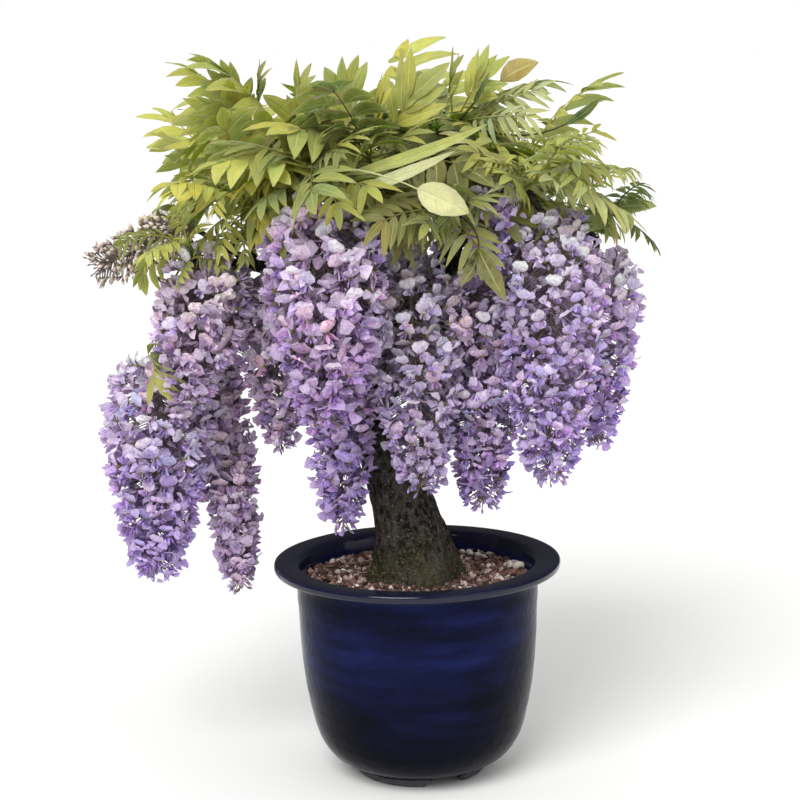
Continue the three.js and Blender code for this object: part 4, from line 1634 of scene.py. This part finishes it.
@dataclass(frozen=True)
class LeafShape:
    """How a compound leaf is divided and how it hangs; lengths are shares of the whole leaf's.

    Its pairs of leaflets stand on the rib from `first` to `last`, the end leaflet starts at `end`, and
    `opening` gives the first and the last pair's angle to the rib. A `fine` leaf has fewer faces.
    """

    pairs: int
    leaflet: float
    width: float
    opening: Pair
    sag: float
    keel: float
    droop: float = 0.12
    first: float = 0.24
    last: float = 0.66
    end: float = 0.68
    fine: bool = False


def undivided(width: float, droop: float, end: float) -> LeafShape:
    """A leaf that is one single blade past its stalk's end."""
    return LeafShape(0, 0.5, width, (0, 0), 0, 0.3, droop, end=end)


class LeafKind(Enum):
    """The kinds of leaf on the plant."""

    BROAD = LeafShape(4, 0.38, 0.13, (68, 46), 36, 1.1)
    LARGE = LeafShape(3, 0.46, 0.15, (62, 34), 32, 0.8, 0.18, 0.28, 0.66, 0.6)
    FAN = LeafShape(3, 0.52, 0.155, (48, 22), 12, 0.5, 0.1, 0.36, 0.6, 0.5)
    SMALL = LeafShape(5, 0.34, 0.085, (62, 40), 44, 1.3)
    YOUNG = LeafShape(7, 0.3, 0.055, (60, 32), 62, 1.0, 0.3, 0.2, 0.82, 0.8, fine=True)
    GRASSY = LeafShape(4, 0.5, 0.06, (44, 20), 30, 0.6, 0.2, 0.2, 0.55, 0.6, fine=True)
    TUFT = LeafShape(5, 0.3, 0.075, (70, 30), 0, 1.0, 0.3, 0.62, 0.86, 0.84, fine=True)
    SINGLE = undivided(0.24, 0.1, 0.5)
    SLIM = undivided(0.15, 0.1, 0.45)
    LANCE = undivided(0.07, 0.03, 0.2)
    PENDANT = undivided(0.16, 0.06, 0.7)
    PAIRED = undivided(0.125, 0.06, 0.6)
    SPIKE = undivided(0.07, 0.04, 0.72)
    SESSILE = undivided(0.27, 0.08, 0.14)


class Green(Enum):
    """Leaf colours."""

    YELLOW = "cbc85c"
    LIME = "b6b85a"
    FRESH = "a3a650"
    MID = "84894e"
    DEEP = "565c38"
    PALE = "cfd39a"
    SAGE = "b4ba7c"
    OLIVE = "7c7841"
    BRONZE = "4e3e1c"
    RUST = "6a5a2a"
    AUTUMN = "a8904c"


@dataclass
class Leaf:
    """One compound leaf on an arching rib, its leaflets on a surface that falls away from the rib."""

    root: Array
    knee: Array
    tip: Array
    kind: LeafKind
    roll: float
    green: Green
    seed: int
    rib_radii: Pair = (1.1, 0.5)
    rib_around: int = 4

    @classmethod
    def fanned(
        cls, root: Array, azimuth: float, elevation: float, length: float, kind: LeafKind, draw: float,
        green: Green, seed: int,
    ) -> "Leaf":
        """A leaf that starts off at a heading and sags over its second half.

        Args:
            root: where it leaves its stem.
            azimuth: its heading, in degrees.
            elevation: its rise at the root, in degrees.
            length: its length along the two halves.
            kind: how it is divided.
            draw: between 0 and 1, turns it about its own rib.
            green: its colour.
            seed: of its leaflets' own draws.

        Returns:
            The leaf.
        """
        start = heading(azimuth, elevation)
        knee = root + 0.5 * length * start
        tip = knee + 0.5 * length * heading(azimuth, elevation - kind.value.sag)
        outwards = unit(knee * (1, 1, 0) + 1e-9)
        sideways = float(unit(np.cross(UP, start)) @ outwards)
        return cls(root, knee, tip, kind, math.radians(40 * (draw - 0.5) - 46 * sideways), green, seed)

    @property
    def grid(self) -> Arrays:
        """Rows along one of its blades, and the places across and through it of the points in a row."""
        return (FINE_ROWS, *FOUR_ROUND) if self.kind.value.fine else (FULL_ROWS, *SIX_ROUND)

    def surface(self, path: Path, x: Array, y: Array, lift: Array) -> Array:
        """Points of the leaf's surface: rib(x) + y . side + (lift - keel y^2 / length) . face.

        Args:
            path: the rib.
            x: shares along the rib.
            y: millimetres to its left.
            lift: millimetres above the surface.

        Returns:
            The points, with one more axis than the arguments.
        """
        centre, along = path.at(x), path.along(x)
        flat = unit(np.cross(UP, along))
        side = flat * math.cos(self.roll) + np.cross(along, flat) * math.sin(self.roll)
        fall = self.kind.value.keel * y * y / path.length
        return centre + side * y[..., None] + np.cross(along, side) * (lift - fall)[..., None]

    def leaflets(self, path: Path) -> Arrays:
        """The leaflets: blades of half width W u^0.72 (1 - u)^0.92 / 0.318, folded up along their middles.

        Args:
            path: the rib.

        Returns:
            Their skins, the place of each point on its blade, and how light each leaflet is.
        """
        shape, rng = self.kind.value, np.random.default_rng(self.seed)
        u, v, front = self.grid
        length = path.length
        pair = np.arange(shape.pairs)
        mix = pair / max(shape.pairs - 1, 1)
        station = shape.first + (shape.last - shape.first) * mix
        opening = shape.opening[0] + (shape.opening[1] - shape.opening[0]) * mix
        size = length * shape.leaflet * (0.86 + 0.16 * np.sin(np.pi * (pair + 0.5) / max(shape.pairs, 1)))
        x0 = np.concatenate([station, station, [shape.end]])
        angle = np.concatenate([opening, -opening, [0]]) + rng.normal(0, 6, 2 * shape.pairs + 1)
        size = np.concatenate([size, size, [(1.0 - shape.end) * length]])
        size = size * rng.uniform(0.84, 1.08, len(size))
        width = shape.width * length * rng.uniform(0.9, 1.12, len(size))
        x0, size, width = (value[:, None, None] for value in (x0, size, width))
        turn = np.radians(angle)[:, None, None]
        across = width / 2 * (u**0.72 * (1 - u) ** 0.92 / BLADE_PEAK) * v
        forward = size * u
        bow = 0.06 * rng.normal(0, 1, size.shape) * size * u * u
        x = x0 + (forward * np.cos(turn) - (across + bow) * np.sin(turn)) / length
        y = forward * np.sin(turn) + (across + bow) * np.cos(turn)
        fold = 0.24 * np.abs(across)
        twist = across * rng.normal(0, 0.22, size.shape) * u
        droop = shape.droop * rng.uniform(0.4, 1.7, size.shape) * size * u * u
        wave = 0.035 * width * np.sin(9 * u + 5 * rng.random(size.shape)) * v
        lift = 0.24 * front * np.sin(np.pi * np.clip(u, 0.02, 0.98)) + fold + twist - droop + wave
        return self.surface(path, x, y, lift), on_blade(u, v), rng.uniform(0.82, 1.14, size.shape)

    def add_to(self, piece: Piece, finish: Material, stalk: Material) -> None:
        """Adds the leaf's rib and leaflets to a piece.

        Args:
            piece: the leafy stem's piece.
            finish: the leaflets' material.
            stalk: the rib's material.
        """
        path = Path(self.root, self.knee, self.tip)
        share = np.linspace(0, self.kind.value.end + 0.02, 9)
        tint = colour(self.green.value)
        rib = tube(path, np.interp(share, [0, 1], self.rib_radii), self.rib_around, share)
        piece.add(rib, stalk, 0.8 * tint + (0, 0, 0, 0.2))
        skins, place, light = self.leaflets(path)
        warm = np.random.default_rng(self.seed).normal(0, 0.16, light.shape)
        shade = np.broadcast_to(tint * 1.0, skins.shape[:3] + (4,)).copy()
        shade[..., :3] *= light[..., None] * (1 + np.array([0.5, 0.1, -0.9]) * warm[..., None])
        shade[..., 3] = np.interp(self.grid[2], [-0.1, 0.1], [0, 1])
        piece.add(skins, finish, shade, place)


@dataclass
class LeafyStem:
    """A leafy stem on its twig: the leaves that its solid has, and others that fill out the crown there.

    `leaf` is a leaf's length, `spread` the degrees between the solid's leaves, `leaves` says which of its
    three leaves the solid has, `rise` is the range of the fillers' rise, and `reach` how near its solid's
    points a leaf's tip must be. `stations`, `fan` and `lift` hold for the solid's three leaves in order.
    """

    name: str
    twig: Twig
    leaf: float
    spread: float
    kind: LeafKind
    greens: tuple[Green, ...]
    leaves: tuple[int, ...]
    fillers: int
    filler_kinds: tuple[LeafKind, ...]
    rise: Pair
    index: int
    stem: float = 30.0
    stem_radii: Pair = (2.6, 1.7)
    stations: tuple = (0.5, 0.75, 0.95)
    fan: tuple = (1, -1, -0.1)
    lift: tuple = (-26, -8, 34)
    bends: int = 40
    reach: float = 0.8

    @property
    def top(self) -> Array:
        """The stem's far end."""
        return self.twig.end() + self.stem * self.twig.out()

    def angles(self) -> Pair:
        """The twig's azimuth and elevation, in degrees."""
        out = self.twig.out()
        return math.degrees(math.atan2(out[1], out[0])), math.degrees(math.asin(out[2]))

    def solid_points(self) -> Array:
        """What the solid's shape is made of.

        Returns:
            Its points, in layout millimetres.
        """
        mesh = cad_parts[f"shoot_{self.name}"].data
        points = np.empty(3 * len(mesh.vertices), np.float32)
        mesh.vertices.foreach_get("co", points)
        return (points.reshape(-1, 3) - POT_AXIS) / MM

    def random_green(self, rng: Draws) -> Green:
        """One of the stem's own greens."""
        return self.greens[int(rng.integers(len(self.greens)))]

    def own_leaves(self, rng: Draws) -> list[Leaf]:
        """The leaves that the solid has, each in the bend in which its tip meets the solid's.

        Args:
            rng: draws for the colours.

        Returns:
            The leaves.
        """
        azimuth, elevation = self.angles()
        steep = min(50.0, 0.6 * elevation)
        solid = self.solid_points()
        shape = LeafKind.BROAD if self.kind is LeafKind.BROAD else LeafKind.SMALL
        found = []
        for i in self.leaves:
            seed = (101 + self.index) * 1000 + i
            draw = seeded_draws(seed)
            fanned = azimuth + self.fan[i] * self.spread + 16 * (next(draw) - 0.5)
            lifted = steep + self.lift[i] + 12 * (next(draw) - 0.5)
            roll = next(seeded_draws(seed + 3))
            root = self.twig.end() + self.stem * self.stations[i] * self.twig.out()
            for bend in range(self.bends):
                ring, way = divmod(bend, 8)
                turned = fanned + 13 * ring * math.cos(way * math.pi / 4)
                raised = lifted + 11 * ring * math.sin(way * math.pi / 4)
                green = self.random_green(rng)
                leaf = Leaf.fanned(root, turned, raised, self.leaf, shape, roll, green, seed * 50 + bend)
                if np.linalg.norm(solid - leaf.tip, axis=1).min() < self.reach:
                    found.append(leaf)
                    break
            else:
                log.warning("%s: leaf %d not found on its solid", self.name, i)
        return found

    def filling_leaves(self, rng: Draws) -> list[Leaf]:
        """More leaves round the stem and its twig, turned by the golden angle and a little shorter.

        Args:
            rng: draws for their places and colours.

        Returns:
            The leaves.
        """
        azimuth, elevation = self.angles()
        line = Path(self.twig.root(), self.top)
        leaves = []
        for i in range(self.fillers):
            root = line.at(rng.uniform(0.3, 1.0))
            turn = ((i + 0.5) * GOLDEN_DEGREES + 180) % 360 - 180
            turned = azimuth + 0.72 * turn + rng.normal(0, 10)
            raised = 0.4 * elevation + rng.uniform(*self.rise)
            length = self.leaf * rng.uniform(0.6, 0.92)
            kind = self.filler_kinds[i % len(self.filler_kinds)]
            draw = rng.random()
            green = self.random_green(rng)
            seed = self.index * 100 + i
            leaves.append(Leaf.fanned(root, turned, raised, length, kind, draw, green, seed))
        return leaves

    def odd_leaves(self) -> list[Leaf]:
        """The leaves that hang singly or stand up out of the crown here."""
        rows = enumerate(ODD_LEAVES.get(self.name, []))
        return [Leaf(*np.array(row[:3], float), *row[3:], seed=900 + i) for i, row in rows]

    def build(self, finish: Material, stalk: Material) -> None:
        """Makes the leafy stem's piece.

        Args:
            finish: the leaflets' material.
            stalk: the stem's and the ribs' material.
        """
        rng = np.random.default_rng(500 + self.index)
        slot = "leaves_broad" if self.kind is LeafKind.BROAD else "leaves_small"
        piece = Piece(f"leaves_{self.name}", slot, (f"shoot_{self.name}",))
        path = Path(self.twig.end(), self.top)
        share = np.linspace(0, 1, 8)
        piece.add(tube(path, np.interp(share, [0, 1], self.stem_radii), 8, share), stalk, colour("77803c"))
        for leaf in self.own_leaves(rng) + self.filling_leaves(rng) + self.odd_leaves():
            leaf.add_to(piece, finish, stalk)
        piece.build()


# ---- Studio ----


def show(thing: bpy.types.Object, axes: Arrays, place: Array) -> None:
    """Puts a lamp or the camera into the scene.

    Args:
        thing: its object.
        axes: its own x, y and z.
        place: where it stands.
    """
    matrix = np.eye(4)
    matrix[:3, :3] = np.stack(axes, 1)
    matrix[:3, 3] = place
    thing.matrix_world = Matrix(matrix.tolist())
    bpy.context.scene.collection.objects.link(thing)


@dataclass
class Studio:
    """A plain pale floor, the camera and the lights, of which `suns` gives what `sun` takes."""

    distance: float = 2.1
    height: float = 0.775
    yaw: float = -0.391
    pitch: float = -10.232
    roll: float = -1.2
    lens: float = 92.966
    sensor: float = 36.0
    ambient: float = 0.68
    gloss: float = 0.07
    floor_reach: float = 30.0
    floor_height: float = -0.0005
    suns: tuple = (("key", -112, 44, 2.3, 34), ("fill", -40, 30, 0.5, 60))
    sun_distance: float = 3.0

    def camera(self) -> None:
        """A camera in front of the plant, a little above it, looking down at it."""
        data = bpy.data.cameras.new("camera")
        data.lens = self.lens
        data.sensor_width = self.sensor
        forward = heading(90 - self.yaw, self.pitch)
        right = unit(np.cross(forward, UP))
        top = np.cross(right, forward)
        roll = math.radians(self.roll)
        side = right * math.cos(roll) + top * math.sin(roll)
        camera = bpy.data.objects.new("camera", data)
        axes = (side, np.cross(side, forward), -forward)
        show(camera, axes, POT_AXIS + (0, -self.distance, self.height))
        bpy.context.scene.camera = camera

    def sun(self, name: str, azimuth: float, elevation: float, strength: float, across: float) -> None:
        """A broad soft lamp, far off, that lights all of the floor alike.

        Args:
            name: the lamp's name.
            azimuth: where it stands round +Z, in degrees.
            elevation: how high it stands, in degrees.
            strength: its strength.
            across: how broad it is, in degrees.
        """
        data = bpy.data.lights.new(name, "SUN")
        data.energy = strength
        data.angle = math.radians(across)
        direction = heading(azimuth, elevation)
        right = unit(np.cross(UP, direction))
        axes = (right, np.cross(direction, right), direction)
        show(bpy.data.objects.new(name, data), axes, self.sun_distance * direction)

    def floor(self) -> None:
        """A wide flat floor just under the pot."""
        reach, height = self.floor_reach, self.floor_height
        corners = [(x * reach, y * reach, height) for x, y in ((-1, -1), (1, -1), (1, 1), (-1, 1))]
        mesh = bpy.data.meshes.new("floor")
        mesh.from_pydata(corners, [], [(0, 1, 2, 3)])
        material, nodes, shader = new_material("pale_floor", colour("f2f2f0"))
        nodes.fill(shader, {"Base Color": colour("f4f4f2"), "Roughness": 0.9, "Specular IOR Level": 0.1})
        mesh.materials.append(material)
        floor = bpy.data.objects.new("floor", mesh)
        bpy.context.scene.collection.objects.link(floor)

    def world(self) -> None:
        """A white world, dimmed where it lights the plant and more so where it is mirrored."""
        world = bpy.data.worlds.new("studio")
        world.use_nodes = True
        nodes = Nodes(world.node_tree)
        path = nodes.add("LightPath").outputs
        dimmed = nodes.maths("MULTIPLY_ADD", path["Is Glossy Ray"], self.gloss - self.ambient, self.ambient)
        strength = nodes.maths("MAXIMUM", path["Is Camera Ray"], dimmed)
        nodes.fill(world.node_tree.nodes["Background"], {0: (1.0, 1.0, 1.0, 1.0), 1: strength})
        bpy.context.scene.world = world

    def build(self) -> None:
        """Sets up the floor, the camera, the world and the lights."""
        self.floor()
        self.camera()
        self.world()
        for row in self.suns:
            self.sun(*row)
        bpy.context.scene.view_settings.view_transform = "Standard"


# ---- The plant's layout ----

S, K, G = Shade, LeafKind, Green

# Name, limb, share of the limb, the twig's end, the raceme's tip, its radius, shade, florets to a square
# millimetre of length times radius, and the florets' size.
RACEME_ROWS = (
    ("front_left", "frontLeft", 1, (-80, -116, 606), (-84, -136, 396), 64, S.PINK, 0.0190, 1.18),
    ("front_left_low", "frontLeft", 0.45, (-60, -48, 512), (-74, -62, 274), 44, S.VIOLET, 0.0190, 1),
    ("left_small", "left", 0.42, (-132, -32, 524), (-138, -4, 346), 40, S.DUSKY, 0.0190, 1),
    ("centre", "frontRight", 0.35, (-2, -56, 540), (6, -96, 320), 54, S.GREY, 0.0215, 0.9),
    ("centre_right", "frontRight", 0.62, (56, -52, 540), (68, -52, 292), 52, S.VIOLET, 0.0205, 0.92),
    ("right_front", "frontRight", 1, (128, -72, 594), (134, -92, 326), 60, S.LILAC, 0.0215, 0.87),
    ("right", "right", 1, (190, -4, 550), (188, -6, 346), 48, S.LILAC, 0.0205, 0.99),
    ("front_small", "frontRight", 0.75, (72, -94, 622), (77, -118, 546), 28, S.LILAC, 0.0190, 1),
    ("left_upper", "left", 0.78, (-196, -40, 545), (-222, -72, 410), 54, S.DUSKY, 0.0215, 1.04),
    ("left_low", "left", 1, (-252, -2, 452), (-272, 2, 214), 62, S.LILAC, 0.0215, 1.04),
    ("left_inner", "left", 0.85, (-242, 46, 500), (-190, 36, 186), 42, S.DUSKY, 0.0215, 1.1),
    ("left_back", "backLeft", 1, (-204, 116, 530), (-208, 118, 392), 48, S.LILAC, 0.0145, 1),
    ("back_left", "backLeft", 0.55, (-112, 86, 556), (-114, 96, 400), 48, S.VIOLET, 0.0145, 1),
    ("back_middle", "back", 0.8, (-18, 126, 586), (-28, 150, 372), 50, S.PINK, 0.0145, 1),
    ("back_right", "back", 1, (44, 156, 585), (74, 154, 350), 50, S.LILAC, 0.0145, 1),
    ("right_back", "right", 0.7, (136, 52, 560), (152, 76, 360), 50, S.VIOLET, 0.0145, 1),
    ("inner", "back", 0.35, (8, 56, 535), (28, 62, 335), 46, S.VIOLET, 0.0130, 1),
    ("left_buds", "left", 0.62, (-214, -26, 578), (-322, -28, 541), 33, S.BUD, 0.0750, 0.85),
)

LIGHT, MIXED, DARK = (G.LIME, G.FRESH, G.YELLOW), (G.FRESH, G.MID, G.LIME), (G.MID, G.DEEP)
SOFT, SHADY, EARTHY = (G.FRESH, G.LIME, G.SAGE), (G.MID, G.FRESH, G.OLIVE), (G.MID, G.OLIVE)
WIDE, TALL = (K.LARGE, K.BROAD, K.YOUNG, K.LARGE), (K.FAN, K.BROAD, K.YOUNG, K.FAN)
AIRY, FINE = (K.YOUNG, K.YOUNG, K.SMALL), (K.GRASSY, K.YOUNG, K.SMALL)
ALL, WILD = (0, 1, 2), (-24, 40)

# Name, limb, share of the limb, the twig's end, and then a leafy stem's own fields in order.
SHOOT_ROWS = (
    ("front", "frontRight", 0.6, (34, -104, 590), 116, 40, K.SMALL, EARTHY, (0, 1), 14, FINE, (-8, 50)),
    ("left", "left", 0.62, (-162, -52, 592), 116, 46, K.BROAD, LIGHT, ALL, 14, WIDE, WILD),
    ("left_low", "left", 0.8, (-216, -60, 558), 80, 40, K.SMALL, LIGHT, (1, 2), 6, AIRY, WILD),
    ("left_back", "backLeft", 0.75, (-178, 94, 592), 140, 46, K.BROAD, MIXED, ALL, 12, WIDE, WILD),
    ("top_left", "top", 0.5, (-94, -12, 622), 168, 42, K.BROAD, LIGHT, ALL, 14, TALL, (0, 50)),
    ("top_front", "top", 0.75, (-34, -46, 634), 156, 60, K.BROAD, SHADY, ALL, 24, FINE, WILD),
    ("top_right", "top", 1, (20, 4, 664), 140, 70, K.SMALL, MIXED, ALL, 18, TALL, WILD),
    ("top_back", "top", 0.7, (-20, 56, 640), 156, 62, K.BROAD, MIXED, ALL, 14, TALL, WILD),
    ("right_upper", "right", 0.5, (102, 2, 610), 150, 52, K.SMALL, SOFT, ALL, 24, AIRY, (-10, 55)),
    ("right", "right", 0.9, (186, -30, 584), 78, 48, K.SMALL, DARK, ALL, 8, AIRY, WILD),
    ("front_right", "frontRight", 0.85, (112, -94, 618), 132, 50, K.SMALL, SOFT, (0, 2), 22, AIRY, (8, 60)),
    ("front_left", "frontLeft", 0.85, (-88, -110, 632), 128, 44, K.BROAD, MIXED, (0, 1), 16, FINE, WILD),
    ("right_back", "right", 0.75, (138, 86, 602), 140, 50, K.SMALL, DARK, (1, 2), 14, AIRY, WILD),
    ("back", "back", 0.8, (10, 144, 624), 140, 54, K.BROAD, MIXED, ALL, 12, WIDE, WILD),
    ("back_left", "backLeft", 0.5, (-100, 120, 612), 140, 48, K.BROAD, MIXED, (0, 1), 12, WIDE, WILD),
    ("crown_left", "left", 0.3, (-150, 0, 650), 116, 50, K.BROAD, LIGHT, ALL, 14, TALL, WILD),
)

RACEMES = [
    Raceme(name, Twig(limb, at, end), *rest, i)
    for i, (name, limb, at, end, *rest) in enumerate(RACEME_ROWS)
]
SHOOTS = [
    LeafyStem(name, Twig(limb, at, end), *rest, i)
    for i, (name, limb, at, end, *rest) in enumerate(SHOOT_ROWS)
]

# Leaves that hang singly or stand up out of the crown, by the stem that each grows from: root, knee, tip,
# kind, turn about the rib, and colour.
ODD_LEAVES = {
    "front": [
        ((44, -120, 598), (84, -221, 582), (40, -207, 534), K.PAIRED, 1.3, G.BRONZE),
        ((44, -118, 598), (53, -222, 591), (87, -207, 527), K.PAIRED, 1.2, G.RUST),
    ],
    "front_left": [
        ((-84, -118, 612), (-10, -174, 634), (62, -174, 668), K.LANCE, 1.2, G.PALE),
        ((-88, -120, 630), (-20, -170, 650), (66, -164, 684), K.LANCE, 1.3, G.LIME),
        ((-96, -128, 646), (-20, -184, 652), (50, -186, 602), K.PENDANT, 1.5, G.PALE),
    ],
    "left": [
        ((-166, -56, 598), (-168, -84, 590), (-158, -98, 548), K.YOUNG, 0.2, G.FRESH),
        ((-160, -54, 596), (-140, -88, 596), (-128, -100, 560), K.YOUNG, -0.2, G.MID),
        ((-164, -56, 598), (-186, -84, 584), (-190, -94, 546), K.SMALL, 0.1, G.LIME),
        ((-158, -54, 600), (-120, -84, 600), (-96, -104, 572), K.YOUNG, 0.1, G.OLIVE),
        ((-166, -56, 600), (-200, -70, 590), (-214, -80, 558), K.SMALL, 0.3, G.FRESH),
    ],
    "left_low": [
        ((-226, -66, 548), (-262, -72, 500), (-256, -78, 420), K.TUFT, 1.3, G.FRESH),
        ((-226, -62, 552), (-256, -70, 566), (-272, -80, 524), K.LARGE, 1.2, G.FRESH),
        ((-222, -58, 566), (-262, -62, 590), (-296, -60, 566), K.YOUNG, 0.8, G.FRESH),
    ],
    "right": [
        ((168, -40, 590), (188, -58, 592), (206, -62, 578), K.SESSILE, 1.2, G.DEEP),
        ((186, -44, 590), (208, -60, 600), (240, -64, 598), K.SESSILE, 1.1, G.MID),
        ((170, -44, 578), (190, -62, 580), (204, -66, 564), K.SESSILE, 1.2, G.DEEP),
        ((176, -30, 604), (202, -34, 642), (232, -36, 628), K.YOUNG, 0.3, G.FRESH),
    ],
    "crown_left": [
        ((-152, -4, 676), (-172, -20, 712), (-196, -24, 738), K.FAN, 1.2, G.FRESH),
        ((-150, -6, 678), (-150, -24, 716), (-146, -28, 746), K.FAN, 1.3, G.MID),
        ((-150, -8, 674), (-186, -40, 690), (-224, -46, 700), K.FAN, 0.9, G.LIME),
    ],
    "top_left": [
        ((-110, -18, 645), (-114, -40, 698), (-102, -50, 740), K.FAN, 1.3, G.FRESH),
        ((-108, -16, 643), (-150, -60, 680), (-186, -76, 694), K.LARGE, 0.9, G.YELLOW),
    ],
    "top_front": [
        ((-38, -68, 652), (-60, -88, 700), (-66, -94, 746), K.FAN, 1.35, G.LIME),
        ((-38, -68, 652), (-30, -92, 692), (-26, -100, 730), K.FAN, 1.35, G.YELLOW),
        ((-30, -66, 650), (-2, -84, 700), (18, -88, 744), K.FAN, 1.3, G.FRESH),
    ],
    "top_right": [
        ((56, 6, 686), (84, 0, 722), (138, -4, 742), K.SINGLE, 0.9, G.AUTUMN),
        ((50, 4, 680), (135, -25, 643), (190, -20, 701), K.SPIKE, 0.9, G.DEEP),
        ((46, 4, 676), (40, -20, 716), (46, -30, 748), K.FAN, 1.3, G.FRESH),
        ((48, 4, 680), (66, -22, 716), (86, -34, 748), K.FAN, 1.3, G.LIME),
        ((52, 2, 682), (70, -40, 700), (79, -50, 732), K.SLIM, 1.4, G.DEEP),
        ((56, 6, 684), (96, -30, 704), (140, -38, 714), K.YOUNG, 1.0, G.SAGE),
        ((54, 4, 680), (92, -50, 690), (132, -66, 686), K.YOUNG, 0.8, G.SAGE),
    ],
}


def main() -> None:
    """Builds the plant piece by piece, then the studio."""
    logging.basicConfig(level=logging.INFO, format="%(name)s %(message)s")
    Pot().build(Glaze().material())
    crumb = Crumb("bark_crumb", 420).material()
    grain = Crumb("granule", 700, 0.35).material()
    stone = Crumb("pebble", 300, 0.12, 0.0006, 0.7).material()
    Soil().build(crumb, grain, stone)
    wood = Wood([thing.twig for thing in RACEMES + SHOOTS])
    wood.build(Bark().material())
    Moss(wood).build(Crumb("moss", 600, 0.3, 0.001).material())
    cup = Crumb("stalk", 300, 0.25, 0.0005, 0.6).material()
    keel = PetalSkin("keel", 0.0, 0.2, 0.15).material()
    petals = Petals(PetalSkin("banner", 0.35).material(), keel, cup)
    bud = PetalSkin("bud", 0.0, 0.3, 0.2, colour("c8bab0")).material()
    for raceme in RACEMES:
        raceme.build(Petals(bud, bud, cup) if raceme.shade is Shade.BUD else petals)
    leaf = LeafSkin().material()
    for stem in SHOOTS:
        stem.build(leaf, cup)
    Studio().build()


if __name__ == "__main__":
    main()
